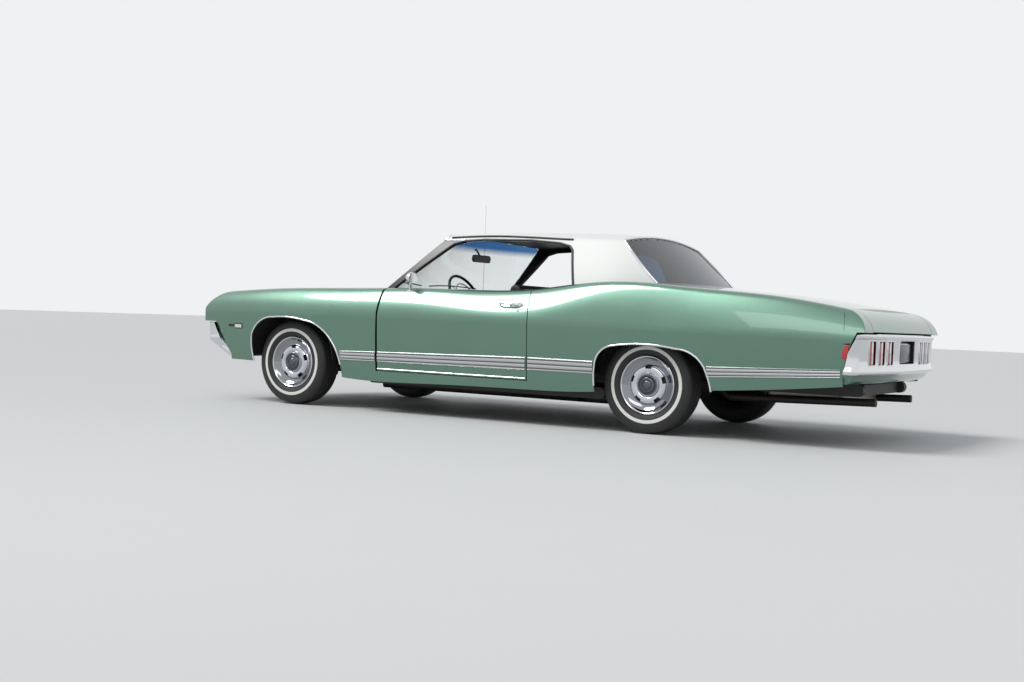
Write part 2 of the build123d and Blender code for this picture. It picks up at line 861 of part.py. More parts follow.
# Valance under the rear bumper
with BuildPart() as rear_valance:
    with BuildSketch(Plane.XZ):
        with BuildLine():
            Polyline(
                (-2560 - seat_gap, 458),
                (-2690, 464),
                (-2650, 412),
                (-2560 - seat_gap, 402),
                close=True,
            )
        make_face()
    extrude(amount=930, both=True)
save(rear_valance.part, "rear_valance")

# Grille and headlamps
grille_x = 2590
grille_low_z = 622
grille_high_z = 800
lamp_radius = 73
with BuildPart() as grille:
    with BuildSketch(Plane.YZ.offset(grille_x)):
        with Locations((0, (grille_low_z + grille_high_z) / 2)):
            Rectangle(2 * (fascia_half - seat_gap), grille_high_z - grille_low_z)
        for y in (560, 745):
            with Locations((y, 711), (-y, 711)):
                Circle(lamp_radius + 10, mode=Mode.SUBTRACT)
    extrude(amount=20)
save(grille.part, "grille")
with BuildPart() as headlamp_left:
    with BuildSketch(Plane.YZ.offset(grille_x - 20)):
        with Locations((652, 711)):
            Rectangle(380, 170)
    extrude(amount=20 - seat_gap)
    with BuildSketch(Plane.YZ.offset(grille_x - 10)):
        for y in (560, 745):
            with Locations((y, 711)):
                Circle(lamp_radius)
    extrude(amount=45)
save(headlamp_left.part, "headlamp_left")
save(mirrored(headlamp_left.part), "headlamp_right")

# Chassis: perimeter frame that narrows at both axles, with pads that carry the floor
floor_wall = 6
floor_z = 292
rail_width = 66
rail_height = 80
rail_low_z = 205
crossmember_z = 250
crossmember_inset = 8
side_rail_y = 745
rear_rail_y = 500
front_kick_x = 1010
rear_kick_x = -800
rail_table = [
    (front_rail_y, [(front_rail_end, 330), (1330, 330), (1230, 245), (front_kick_x, 245)]),
    (side_rail_y, [(front_kick_x + 80, 245), (rear_kick_x - 30, 245)]),
    (rear_rail_y, [(rear_kick_x, 245), (-900, 290), (-1020, 440), (-1440, 440), (-1640, 360), (-2540, 360)]),
]
link_rails = [
    (front_kick_x + 40, front_rail_y, side_rail_y),
    (rear_kick_x - 40, rear_rail_y, side_rail_y),
]
with BuildPart() as chassis_frame:
    for y, route in rail_table:
        for side in (1, -1):
            with BuildSketch(Plane.XZ.offset(-(side * y - rail_width / 2))):
                with BuildLine():
                    line = Polyline(*route)
                    offset(line, amount=rail_height / 2, side=Side.BOTH)
                make_face()
            extrude(amount=-rail_width)
    with BuildSketch(Plane.XY.offset(rail_low_z)):
        for x, low_y, high_y in link_rails:
            with Locations((x, (low_y + high_y) / 2), (x, -(low_y + high_y) / 2)):
                Rectangle(80, high_y - low_y)
    extrude(amount=rail_height)
    with BuildSketch(Plane.XY.offset(rail_low_z + crossmember_inset)):
        with Locations((rear_kick_x - 40, 0), (front_kick_x + 40, 0)):
            Rectangle(70, 2 * rear_rail_y)
    extrude(amount=rail_height - 2 * crossmember_inset)
    with BuildSketch(Plane.XY.offset(330)):
        with Locations((2260, 0)):
            Rectangle(70, 2 * front_rail_y)
    extrude(amount=40)
    with BuildSketch(Plane.XY.offset(322)):
        with Locations((-2500, 0)):
            Rectangle(70, 2 * rear_rail_y)
    extrude(amount=70)
    with BuildSketch(Plane.XY.offset(crossmember_z)):
        with Locations((front_axle_x, 0)):
            Rectangle(130, 2 * front_rail_y)
    extrude(amount=60)
    with BuildSketch(Plane.XY.offset(rail_low_z + rail_height)):
        for x in (820, 120, -620):
            with Locations((x, side_rail_y), (x, -side_rail_y)):
                Circle(30)
    extrude(amount=floor_z + 5 - floor_wall - seat_gap - rail_low_z - rail_height)
save(chassis_frame.part, "chassis_frame")

# Floor: firewall, cabin floor with a tunnel, kick-up over the rear axle, trunk floor and wheelhouses
firewall_x = 1180
tunnel_radius = 120
floor_half = 848
house_radius = 400
house_inner_y = 640
house_open_z = 460
with BuildPart() as floor_pan:
    with BuildSketch(Plane.XZ.offset(-floor_half)):
        with BuildLine():
            Polyline(
                (firewall_x, cowl_low_z - floor_wall - seat_gap),
                (firewall_x, 420),
                (1090, floor_z + 5),
                (rear_kick_x + 60, floor_z + 5),
                (-940, 505),
                (-1500, 505),
                (-1700, 425),
                (-2535, 425),
            )
            offset(amount=floor_wall, side=Side.BOTH)
        make_face()
    extrude(amount=2 * floor_half)
    with BuildSketch(Plane.YZ.offset(rear_kick_x - 150)):
        with Locations((0, floor_z + 10)):
            Circle(tunnel_radius)
    extrude(amount=firewall_x - rear_kick_x + 150)
    with BuildSketch(Plane.YZ.offset(rear_kick_x - 300)):
        with Locations((0, floor_z + 10)):
            Circle(tunnel_radius - floor_wall)
    extrude(amount=firewall_x - rear_kick_x + 400, mode=Mode.SUBTRACT)
    with BuildSketch(Plane.XY.offset(100)):
        with Locations(((firewall_x + rear_kick_x - 150) / 2, 0)):
            Rectangle(firewall_x - rear_kick_x + 170, 2 * tunnel_radius + 4)
    extrude(amount=floor_z - 101, mode=Mode.SUBTRACT)
    for side in (1, -1):
        with BuildSketch(Plane.XZ.offset(-side * house_inner_y)):
            with Locations((rear_axle_x, hub_z)):
                Circle(house_radius)
        extrude(amount=-side * (floor_half - house_inner_y))
    for side in (1, -1):
        with BuildSketch(Plane.XZ.offset(-side * (house_inner_y + floor_wall))):
            with Locations((rear_axle_x, hub_z)):
                Circle(house_radius - floor_wall)
        extrude(amount=-side * 300, mode=Mode.SUBTRACT)
    with BuildSketch(Plane.XY.offset(-100)):
        with Locations((rear_axle_x, house_inner_y + 200), (rear_axle_x, -house_inner_y - 200)):
            Rectangle(2 * house_radius + 20, 400)
    extrude(amount=house_open_z + 100, mode=Mode.SUBTRACT)
    with BuildSketch(Plane.XY.offset(0)):
        with Locations((1300, 840), (1300, -840)):
            Rectangle(700, 200)
    extrude(amount=900, mode=Mode.SUBTRACT)
save(floor_pan.part, "floor_pan")

# Wheels and tyres
wheel_y = track / 2
kingpin_y = 728
kingpin_radius = 20
hub_radius = 48
bore_radius = spindle_radius + running_gap


def make_tyre():
    """Tyre about the Y axis, with its outer side towards +Y."""
    half = tyre_width / 2
    tread = 78
    tread_edge = tyre_radius - 9
    with BuildPart() as tyre:
        with BuildSketch(Plane.YZ):
            with BuildLine():
                Line((-rim_width / 2 + 4, bead_radius), (rim_width / 2 - 4, bead_radius))
                ThreePointArc((rim_width / 2 - 4, bead_radius), (half, 258), (tread, tread_edge))
                ThreePointArc((tread, tread_edge), (0, tyre_radius), (-tread, tread_edge))
                ThreePointArc((-tread, tread_edge), (-half, 258), (-rim_width / 2 + 4, bead_radius))
            make_face()
        revolve(axis=Axis.Y)
    return tyre.part


def make_wheel():
    """Steel wheel with its cover, about the Y axis, with its outer side towards +Y."""
    lip = rim_width / 2 + 8
    with BuildPart() as wheel:
        with BuildSketch(Plane.YZ):
            with BuildLine():
                Polyline(
                    (-lip, rim_radius),
                    (-lip, rim_radius - rim_wall - 12),
                    (lip - 36, rim_radius - rim_wall - 12),
                    (lip - 52, 120),
                    (lip - 40, 96),
                    (lip - 40, hub_radius),
                    (-10, hub_radius),
                    (-10, 0),
                    (lip + 6, 0),
                    (lip + 6, 58),
                    (lip - 8, 74),
                    (lip - 20, 116),
                    (lip - 8, 128),
                    (lip - 12, 160),
                    (lip + 2, rim_radius - 8),
                    (lip, rim_radius),
                    close=True,
                )
            make_face()
        revolve(axis=Axis.Y)
        with BuildSketch(Plane.XZ.offset(40)):
            Circle(bore_radius)
        extrude(amount=-(40 + spindle_length - 20), mode=Mode.SUBTRACT)
        with BuildSketch(Plane.XZ.offset(0)):
            with PolarLocations(137, 5):
                SlotOverall(54, 22, rotation=90)
        extrude(amount=-120, mode=Mode.SUBTRACT)
    return wheel.part


tyre_left = make_tyre()
wheel_left = make_wheel()
corner_places = [
    ("front_left", front_axle_x, 1),
    ("front_right", front_axle_x, -1),
    ("rear_left", rear_axle_x, 1),
    ("rear_right", rear_axle_x, -1),
]
for corner, x, side in corner_places:
    for part, kind in ((tyre_left, "tyre"), (wheel_left, "wheel")):
        with BuildPart() as placed:
            with Locations((x, side * wheel_y, hub_z)):
                if side > 0:
                    add(part)
                else:
                    add(mirrored(part))
        save(placed.part, f"{kind}_{corner}")

# Knuckles, turning on the kingpin line between the control arms
arm_low_z = 232
arm_high_z = 402
arm_thick = 26
with BuildPart() as knuckle_left:
    with BuildSketch(Plane.XY.offset(arm_low_z + arm_thick + 0.3)):
        with Locations((front_axle_x, kingpin_y)):
            Circle(kingpin_radius + 14)
    extrude(amount=arm_high_z - arm_low_z - arm_thick - 0.6)
    with BuildSketch(Plane.XY.offset(arm_low_z - 12)):
        with Locations((front_axle_x, kingpin_y)):
            Circle(kingpin_radius)
    extrude(amount=arm_high_z + arm_thick - arm_low_z + 24)
    with BuildSketch(Plane.XZ.offset(-kingpin_y)):
        with Locations((front_axle_x, hub_z)):
            Circle(spindle_radius)
    extrude(amount=-(wheel_y - 40 - kingpin_y + 78))
save(knuckle_left.part, "knuckle_left")
save(mirrored(knuckle_left.part), "knuckle_right")

# Front suspension: an upper and a lower arm on each side
with BuildPart() as suspension_left:
    for z in (arm_low_z, arm_high_z):
        with BuildSketch(Plane.XY.offset(z)):
            with BuildLine():
                Polyline(
                    (front_axle_x - 150, front_rail_y + rail_width / 2 + seat_gap),
                    (front_axle_x - 28, kingpin_y),
                    (front_axle_x + 28, kingpin_y),
                    (front_axle_x + 150, front_rail_y + rail_width / 2 + seat_gap),
                    close=True,
                )
            make_face()
            with Locations((front_axle_x, kingpin_y)):
                Circle(kingpin_radius + 14)
                Circle(kingpin_radius + running_gap, mode=Mode.SUBTRACT)
        extrude(amount=arm_thick)
    with BuildSketch(Plane.XY.offset(arm_low_z)):
        with Locations((front_axle_x, front_rail_y + rail_width / 2 + seat_gap + 25)):
            Rectangle(90, 50)
    extrude(amount=arm_high_z - arm_low_z)
save(suspension_left.part, "control_arms_left")
save(mirrored(suspension_left.part), "control_arms_right")

# Rear axle with its differential
with BuildPart() as rear_axle:
    with BuildSketch(Plane.XZ.offset(wheel_y - 60)):
        with Locations((rear_axle_x, hub_z)):
            Circle(38)
    extrude(amount=-2 * (wheel_y - 60))
    with BuildSketch(Plane.XZ.offset(wheel_y - 50)):
        with Locations((rear_axle_x, hub_z)):
            Circle(spindle_radius)
    extrude(amount=-2 * (wheel_y - 50))
    with BuildSketch(Plane.XZ.offset(wheel_y + 38)):
        with Locations((rear_axle_x, hub_z)):
            Circle(spindle_radius)
    extrude(amount=-2 * (wheel_y + 38))
    with Locations((rear_axle_x, 0, hub_z)):
        Sphere(120)
    with BuildSketch(Plane.YZ.offset(rear_axle_x)):
        with Locations((0, hub_z)):
            Circle(50)
    extrude(amount=190)
    with Locations((rear_axle_x, 500, hub_z + 38), (rear_axle_x, -500, hub_z + 38)):
        Box(90, 60, 20)
save(rear_axle.part, "rear_axle")

# Dashboard, steering column and steering wheel
dash_half = cowl_half - seat_gap
driver_y = 385
wheel_tilt = 30
steering_centre = (525, driver_y, 880)
steering_radius = 200
with BuildPart() as dashboard:
    with BuildSketch(Plane.XZ.offset(-dash_half)):
        with BuildLine():
            Polyline(
                (1100, 850),
                (1100, 640),
                (830, 640),
                (790, 690),
                (770, 820),
                (800, 900),
                (840, 915),
                (855, 915),
                (855, 850),
                close=True,
            )
        make_face()
    extrude(amount=2 * dash_half)
    with BuildSketch(Plane.XZ.offset(-driver_y - 60)):
        with Locations((790, 740)):
            Rectangle(130, 110)
    extrude(amount=120, mode=Mode.SUBTRACT)
save(dashboard.part, "dashboard")

column_dir = (-cos(radians(wheel_tilt)), 0, sin(radians(wheel_tilt)))
column_plane = Plane(origin=steering_centre, x_dir=(0, 1, 0), z_dir=column_dir)
with BuildPart() as steering_wheel:
    with BuildSketch(column_plane.offset(-60)):
        Circle(40)
        Circle(12 + running_gap, mode=Mode.SUBTRACT)
    extrude(amount=40)
    with BuildSketch(column_plane.offset(-20)):
        Circle(40)
    extrude(amount=24)
    with BuildSketch(column_plane.offset(-16)):
        for turn in (0, 180):
            with Locations((100 if turn == 0 else -100, 0)):
                Rectangle(196, 30)
    extrude(amount=10)
    with BuildSketch(column_plane.offset(-22)):
        Circle(steering_radius)
        Circle(steering_radius - 22, mode=Mode.SUBTRACT)
    extrude(amount=22)
save(steering_wheel.part, "steering_wheel")
with BuildPart() as steering_column:
    with BuildSketch(column_plane.offset(-66)):
        Circle(36)
    extrude(amount=-224)
    with BuildSketch(column_plane.offset(-66)):
        Circle(12)
    extrude(amount=40)
    with BuildSketch(Plane.XZ.offset(-driver_y - 60 + seat_gap)):
        with Locations((800, 740)):
            Rectangle(60, 30)
    extrude(amount=120 - 2 * seat_gap)
save(steering_column.part, "steering_column")

# Seats: a front bench with two backs and a rear bench
seat_half = 700
with BuildPart() as front_seat:
    with BuildSketch(Plane.XZ.offset(-seat_half)):
        with BuildLine():
            Polyline(
                (540, 560),
                (560, 430),
                (540, 309),
                (40, 309),
                (-20, 420),
                (-130, 975),
                (-70, 1000),
                (-10, 985),
                (60, 570),
                close=True,
            )
        make_face()
    extrude(amount=2 * seat_half)
    with BuildSketch(Plane.YZ.offset(-200)):
        with Locations((0, floor_z + 10)):
            Circle(tunnel_radius + 1)
    extrude(amount=900, mode=Mode.SUBTRACT)
save(front_seat.part, "front_seat")
with BuildPart() as rear_seat:
    with BuildSketch(Plane.XZ.offset(-620)):
        with BuildLine():
            Polyline(
                (-330, 520),
                (-310, 420),
                (-340, 309),
                (-730, 309),
                (-800, 520),
                (-1000, 940),
                (-880, 960),
                (-800, 930),
                (-720, 560),
                close=True,
            )
        make_face()
    extrude(amount=1240)
    with BuildSketch(Plane.YZ.offset(-1100)):
        with Locations((0, floor_z + 10)):
            Circle(tunnel_radius + 1)
    extrude(amount=900, mode=Mode.SUBTRACT)
save(rear_seat.part, "rear_seat")
with BuildPart() as parcel_shelf:
    with BuildSketch(Plane.XY.offset(964)):
        with BuildLine():
            Polyline(
                (-890, 700),
                (-1180, 640),
                (-1180, -640),
                (-890, -700),
                close=True,
            )
        make_face()
    extrude(amount=10)
save(parcel_shelf.part, "parcel_shelf")

# Engine, radiator and drive train
with BuildPart() as engine:
    with BuildSketch(Plane.XY.offset(crossmember_z + 60 + seat_gap)):
        with Locations((1640, 0)):
            Rectangle(700, 520)
    extrude(amount=500)
save(engine.part, "engine")
with BuildPart() as radiator:
    with BuildSketch(Plane.XY.offset(370.5)):
        with Locations((2260, 0)):
            Rectangle(60, 700)
    extrude(amount=420)
save(radiator.part, "radiator")
with BuildPart() as driveline:
    with BuildSketch(Plane.YZ.offset(1290 - seat_gap)):
        with Locations((0, 350)):
            Circle(60)
    extrude(amount=-600)
    with BuildSketch(Plane.YZ.offset(690)):
        with Locations((0, 335)):
            Circle(34)
    extrude(amount=-(690 - rear_axle_x - 190 - seat_gap))
save(driveline.part, "driveline")

# Exhaust pipes, one on each side, with their mufflers
pipe_radius = 26
with BuildPart() as exhaust_left:
    with BuildLine() as pipe_line:
        FilletPolyline(
            (1300, 330, 172),
            (-935, 330, 172),
            (-1085, 410, 425),
            (-1400, 410, 425),
            (-1640, 428, 262),
            (-2640, 440, 285),
            radius=60,
        )
    with BuildSketch(Plane(origin=(1300, 330, 172), z_dir=pipe_line.line % 0)):
        Circle(pipe_radius)
    sweep()
    with BuildSketch(Plane.YZ.offset(-480)):
        with Locations((330, 200)):
            SlotOverall(200, 100)
    extrude(amount=560)
    with BuildSketch(Plane.XY.offset(180)):
        with Locations((rear_kick_x - 40, 330)):
            Rectangle(40, 24)
    extrude(amount=rail_low_z + crossmember_inset - seat_gap - 180)
save(exhaust_left.part, "exhaust_left")
save(mirrored(exhaust_left.part), "exhaust_right")
with BuildPart() as fuel_tank:
    with BuildSketch(Plane.XY.offset(270)):
        with Locations((-2140, 0)):
            RectangleRounded(560, 780, 60)
    extrude(amount=149 - seat_gap)
save(fuel_tank.part, "fuel_tank")

# Door mirror, handles, marker lamps, interior mirror and antenna
with BuildPart() as door_mirror:
    with BuildSketch(Plane.XY.offset(915)):
        with Locations((690, 905)):
            Ellipse(26, 18)
    extrude(amount=30)
    with BuildSketch(Plane.XY.offset(940)):
        with Locations((682, 915)):
            Circle(9)
    extrude(amount=40)
    with BuildSketch(Plane.YZ.offset(642)):
        with Locations((940, 998)):
            Ellipse(62, 44)
    extrude(amount=56)
    add(body_outer, mode=Mode.SUBTRACT)
save(door_mirror.part, "door_mirror")
with BuildPart() as door_handle_left:
    with BuildSketch(Plane.XZ.offset(-940)):
        with Locations((-200, 828)):
            SlotOverall(190, 34)
    extrude(amount=-60)
    add(body_outer, mode=Mode.SUBTRACT)
save(door_handle_left.part, "door_handle_left")
save(mirrored(door_handle_left.part), "door_handle_right")
with BuildPart() as interior_mirror:
    with BuildSketch(Plane.YZ.offset(640)):
        with Locations((0, 1190)):
            SlotOverall(250, 58)
    extrude(amount=20)
    with BuildLine() as stem_line:
        Polyline((652, 0, 1195), (700, 0, 1262), (712, 0, 1262))
    with BuildSketch(Plane(origin=(652, 0, 1195), z_dir=stem_line.line % 0)):
        Circle(7)
    sweep(transition=Transition.RIGHT)
save(interior_mirror.part, "interior_mirror")
with BuildPart() as antenna:
    with BuildSketch(Plane.XY.offset(880)):
        with Locations((1120, -800)):
            Circle(14)
    extrude(amount=60)
    with BuildSketch(Plane.XY.offset(930)):
        with Locations((1120, -800)):
            Circle(3)
    extrude(amount=760)
    add(body_outer, mode=Mode.SUBTRACT)
save(antenna.part, "antenna")
with BuildPart() as front_marker_left:
    with BuildSketch(Plane.XZ.offset(-940)):
        with Locations((2320, 590)):
            RectangleRounded(140, 34, 8)
    extrude(amount=-70)
    add(body_outer, mode=Mode.SUBTRACT)
save(front_marker_left.part, "front_marker_left")
save(mirrored(front_marker_left.part), "front_marker_right")
with BuildPart() as rear_marker_left:
    with BuildSketch(Plane.XZ.offset(-930)):
        with BuildLine():
            Polyline((-2567, 652), (-2602, 654), (-2584, 560), (-2550, 572), close=True)
        make_face()
    extrude(amount=-70)
    add(body_outer, mode=Mode.SUBTRACT)
save(rear_marker_left.part, "rear_marker_left")
save(mirrored(rear_marker_left.part), "rear_marker_right")
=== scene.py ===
# %% [markdown]
# A full-size two-door hardtop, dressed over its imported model.
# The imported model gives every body, joint and place, in metres. This lesson adds the smooth
# panels, glass, bright metal, tyres and seats that the plain solids only stand for.

# %% Load the fixed frame
import math
import bmesh
import bpy
import numpy as np
from mathutils import Matrix, Vector


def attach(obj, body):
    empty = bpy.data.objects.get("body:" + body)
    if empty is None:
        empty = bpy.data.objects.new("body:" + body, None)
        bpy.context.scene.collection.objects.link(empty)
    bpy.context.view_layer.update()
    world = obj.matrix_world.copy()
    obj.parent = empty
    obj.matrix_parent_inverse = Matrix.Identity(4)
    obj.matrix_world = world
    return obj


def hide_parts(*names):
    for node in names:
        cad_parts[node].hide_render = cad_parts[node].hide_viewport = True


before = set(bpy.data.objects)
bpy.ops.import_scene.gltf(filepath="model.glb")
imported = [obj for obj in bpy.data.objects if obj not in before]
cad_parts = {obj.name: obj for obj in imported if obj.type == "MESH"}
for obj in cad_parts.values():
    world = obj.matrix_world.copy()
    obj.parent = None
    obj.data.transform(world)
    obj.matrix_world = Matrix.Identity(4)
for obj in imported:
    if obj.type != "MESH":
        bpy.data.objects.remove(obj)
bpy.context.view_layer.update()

# %% [markdown]
# The camera stands low at the left rear, a little below the belt of the car. Its three
# directions are written out, because a small roll belongs to the picture as well.

# %% Camera at the picture's viewpoint
camera_data = bpy.data.cameras.new("camera")
camera_data.lens = 48.13
camera_data.sensor_width = 36
camera_data.clip_end = 300
camera = bpy.data.objects.new("camera", camera_data)
bpy.context.scene.collection.objects.link(camera)
look_right = Vector((-0.86088, -0.50723, 0.04))
look_up = Vector((0.04338, 0.00516, 0.99905))
look_back = Vector((-0.50695, 0.86179, 0.01756))
camera.matrix_world = Matrix.Translation((-5.0588, 9.1778, 0.7431)) @ Matrix((
    look_right, look_up, look_back
)).transposed().to_4x4()
bpy.context.scene.camera = camera
bpy.context.scene.view_settings.view_transform = "Standard"
print("camera lens", camera_data.lens)

# %% [markdown]
# The studio is a pale floor, a soft sun and one large lamp. Camera, mirror and glass rays see
# a pale room, while the light that falls on the car is held at a plain level.

# %% Room and lamps
def lamp(name, place, target, size, power):
    data = bpy.data.lights.new(name, "AREA")
    data.shape = "RECTANGLE"
    data.size, data.size_y = size
    data.energy = power
    obj = bpy.data.objects.new(name, data)
    bpy.context.scene.collection.objects.link(obj)
    obj.location = place
    obj.rotation_mode = "QUATERNION"
    obj.rotation_quaternion = (Vector(target) - Vector(place)).to_track_quat("-Z", "Y")

world = bpy.data.worlds.new("room")
bpy.context.scene.world = world
world.use_nodes = True
wn, wl = world.node_tree.nodes, world.node_tree.links
background = wn["Background"]
path = wn.new("ShaderNodeLightPath")
seen = wn.new("ShaderNodeMath")
seen.operation = "MAXIMUM"
wl.new(path.outputs["Is Camera Ray"], seen.inputs[0])
seen_glossy = wn.new("ShaderNodeMath")
seen_glossy.operation = "MAXIMUM"
wl.new(path.outputs["Is Glossy Ray"], seen_glossy.inputs[0])
wl.new(path.outputs["Is Transmission Ray"], seen_glossy.inputs[1])
wl.new(seen_glossy.outputs[0], seen.inputs[1])
room_mix = wn.new("ShaderNodeMix")
room_mix.data_type = "RGBA"
room_mix.inputs[6].default_value = (0.38, 0.40, 0.43, 1)
room_mix.inputs[7].default_value = (0.87, 0.88, 0.89, 1)
wl.new(seen.outputs[0], room_mix.inputs[0])
wl.new(room_mix.outputs[2], background.inputs["Color"])
sun_data = bpy.data.lights.new("soft_sun", "SUN")
sun_data.energy = 1.9
sun_data.angle = math.radians(24)
sun = bpy.data.objects.new("soft_sun", sun_data)
bpy.context.scene.collection.objects.link(sun)
sun.rotation_mode = "QUATERNION"
sun.rotation_quaternion = Vector((-0.50, -0.42, -0.76)).to_track_quat("-Z", "Y")
lamp("key", (-2.5, 7.5, 6.5), (0, 0, 0.6), (7, 2.5), 120)

# %% [markdown]
# A real finish is never one flat colour. Each material below starts from the same few nodes:
# a fine noise for grain, a slow noise for uneven colour, and a bump from the fine one.

# %% One helper for all materials
def material(
    name, colour, metallic=0.0, rough=0.4, grain=400.0, bump=0.05, depth=0.0005, spread=0.06, coat=0.0,
    stretch=(1, 1, 1), rough_spread=0.05
):
    made = bpy.data.materials.new(name)
    made.use_nodes = True
    nodes, links = made.node_tree.nodes, made.node_tree.links
    shader = nodes["Principled BSDF"]
    shader.inputs["Metallic"].default_value = metallic
    if coat:
        shader.inputs["Coat Weight"].default_value = coat
        shader.inputs["Coat Roughness"].default_value = 0.03
    where = nodes.new("ShaderNodeTexCoord")
    turned = nodes.new("ShaderNodeMapping")
    turned.inputs["Scale"].default_value = stretch
    links.new(where.outputs["Object"], turned.inputs["Vector"])
    slow = nodes.new("ShaderNodeTexNoise")
    slow.inputs["Scale"].default_value = 3.1
    slow.inputs["Detail"].default_value = 3
    fine = nodes.new("ShaderNodeTexNoise")
    fine.inputs["Scale"].default_value = grain
    fine.inputs["Detail"].default_value = 2
    for noise in (slow, fine):
        links.new(turned.outputs["Vector"], noise.inputs["Vector"])
    both = nodes.new("ShaderNodeMath")
    both.operation = "MULTIPLY_ADD"
    both.inputs[1].default_value = 0.5
    links.new(slow.outputs["Fac"], both.inputs[0])
    half = nodes.new("ShaderNodeMath")
    half.operation = "MULTIPLY"
    half.inputs[1].default_value = 0.5
    links.new(fine.outputs["Fac"], half.inputs[0])
    links.new(half.outputs[0], both.inputs[2])
    tint = nodes.new("ShaderNodeMix")
    tint.data_type = "RGBA"
    tint.inputs[6].default_value = (*[c * (1 - spread * 2) for c in colour], 1)
    tint.inputs[7].default_value = (*[min(1.0, c * (1 + spread * 2)) for c in colour], 1)
    links.new(both.outputs[0], tint.inputs[0])
    links.new(tint.outputs[2], shader.inputs["Base Color"])
    gloss = nodes.new("ShaderNodeMapRange")
    gloss.inputs["To Min"].default_value = max(0.0, rough - rough_spread)
    gloss.inputs["To Max"].default_value = rough + rough_spread
    links.new(slow.outputs["Fac"], gloss.inputs["Value"])
    links.new(gloss.outputs["Result"], shader.inputs["Roughness"])
    if bump:
        lift = nodes.new("ShaderNodeBump")
        lift.inputs["Strength"].default_value = bump
        lift.inputs["Distance"].default_value = depth
        links.new(fine.outputs["Fac"], lift.inputs["Height"])
        links.new(lift.outputs["Normal"], shader.inputs["Normal"])
    return made

# %% The finishes of this car
PAINT = material(
    "green_paint", (0.112, 0.225, 0.165), metallic=0.62, rough=0.30, grain=2600, bump=0.02,
    depth=0.0001, spread=0.05, coat=1.0
)
VINYL = material(
    "white_vinyl", (0.80, 0.80, 0.77), rough=0.46, grain=620, bump=0.55, depth=0.0006, spread=0.02
)
CHROME = material(
    "bright_chrome", (0.74, 0.75, 0.77), metallic=1.0, rough=0.06, grain=90, bump=0.01, depth=0.0002,
    spread=0.02, rough_spread=0.03
)
SATIN = material(
    "satin_metal", (0.52, 0.53, 0.54), metallic=1.0, rough=0.30, grain=900, bump=0.05,
    stretch=(0.02, 1, 1), spread=0.04
)
COVER = material(
    "wheel_cover_metal", (0.62, 0.64, 0.68), metallic=1.0, rough=0.14, grain=300, bump=0.02, spread=0.05
)
DARK_TRIM = material(
    "dark_moulding", (0.012, 0.012, 0.013), rough=0.30, grain=500, bump=0.05, spread=0.1
)
RUBBER = material(
    "tyre_rubber", (0.018, 0.018, 0.018), rough=0.62, grain=500, bump=0.35, depth=0.0006, spread=0.18
)
WHITEWALL = material("white_rubber", (0.78, 0.77, 0.73), rough=0.5, grain=300, bump=0.15, spread=0.03)
BLACK_VINYL = material(
    "black_seat_vinyl", (0.016, 0.016, 0.017), rough=0.42, grain=700, bump=0.5, depth=0.0005,
    spread=0.15
)
BLACK_PLASTIC = material(
    "black_plastic", (0.018, 0.018, 0.019), rough=0.38, grain=800, bump=0.2, spread=0.12
)
CARPET = material(
    "black_carpet", (0.012, 0.012, 0.013), rough=0.95, grain=1500, bump=1.0, depth=0.002, spread=0.3
)
CHASSIS = material("chassis_black", (0.02, 0.02, 0.021), rough=0.55, grain=160, bump=0.3, spread=0.25)
IRON = material("engine_red_paint", (0.20, 0.06, 0.025), rough=0.45, grain=220, bump=0.4, spread=0.15)
EXHAUST = material(
    "exhaust_steel", (0.30, 0.28, 0.26), metallic=1.0, rough=0.42, grain=120, bump=0.2, spread=0.2
)
RED_LENS = material(
    "red_lens", (0.42, 0.008, 0.012), rough=0.12, grain=60, bump=0.02, spread=0.1, coat=1.0
)
PALE_LENS = material(
    "pale_lens", (0.72, 0.70, 0.64), rough=0.12, grain=80, bump=0.05, spread=0.05, coat=1.0
)
print("materials", len(bpy.data.materials))

# %% Studio floor
floor_mesh = bpy.data.meshes.new("studio_floor")
bm = bmesh.new()
bmesh.ops.create_grid(bm, x_segments=4, y_segments=4, size=60)
bm.to_mesh(floor_mesh)
bm.free()
floor = bpy.data.objects.new("studio_floor", floor_mesh)
bpy.context.scene.collection.objects.link(floor)
FLOOR = material("pale_floor", (0.66, 0.66, 0.65), rough=0.7, grain=40, bump=0.02, spread=0.01)
floor_mesh.materials.append(FLOOR)
floor.location.z = -0.0005

# %% [markdown]
# The body of the car is one flowing skin, and its panels are cut from it, as the gaps line up
# in the real car too. The table holds the same cross-sections as the model: the side crease,
# the hip, the top edge and the crown, from the tail to the nose, in millimetres.
# A cubic curve through each column gives every section between them.

# %% Cross-sections of the body
SECTIONS = np.array([
    (-2726, 935, 680, 862, 826, 800, 846, 858, 900, 412),
    (-2123, 982, 699, 892, 922, 838, 942, 956, 940, 352),
    (-1545, 1005, 702, 910, 962, 858, 983, 1004, 960, 312),
    (-1168, 1010, 705, 922, 985, 872, 1009, 1030, 965, 290),
    (-812, 1011, 710, 928, 965, 878, 1003, 1020, 970, 258),
    (-345, 1011, 719, 927, 890, 874, 944, 970, 972, 246),
    (455, 1011, 721, 927, 903, 875, 928, 950, 972, 236),
    (1185, 1004, 720, 925, 893, 870, 916, 938, 965, 236),
    (1791, 990, 714, 915, 880, 860, 902, 916, 950, 300),
    (2387, 955, 712, 893, 848, 835, 868, 882, 915, 322),
    (2726, 925, 700, 868, 822, 810, 838, 848, 890, 318),
]) / 1000

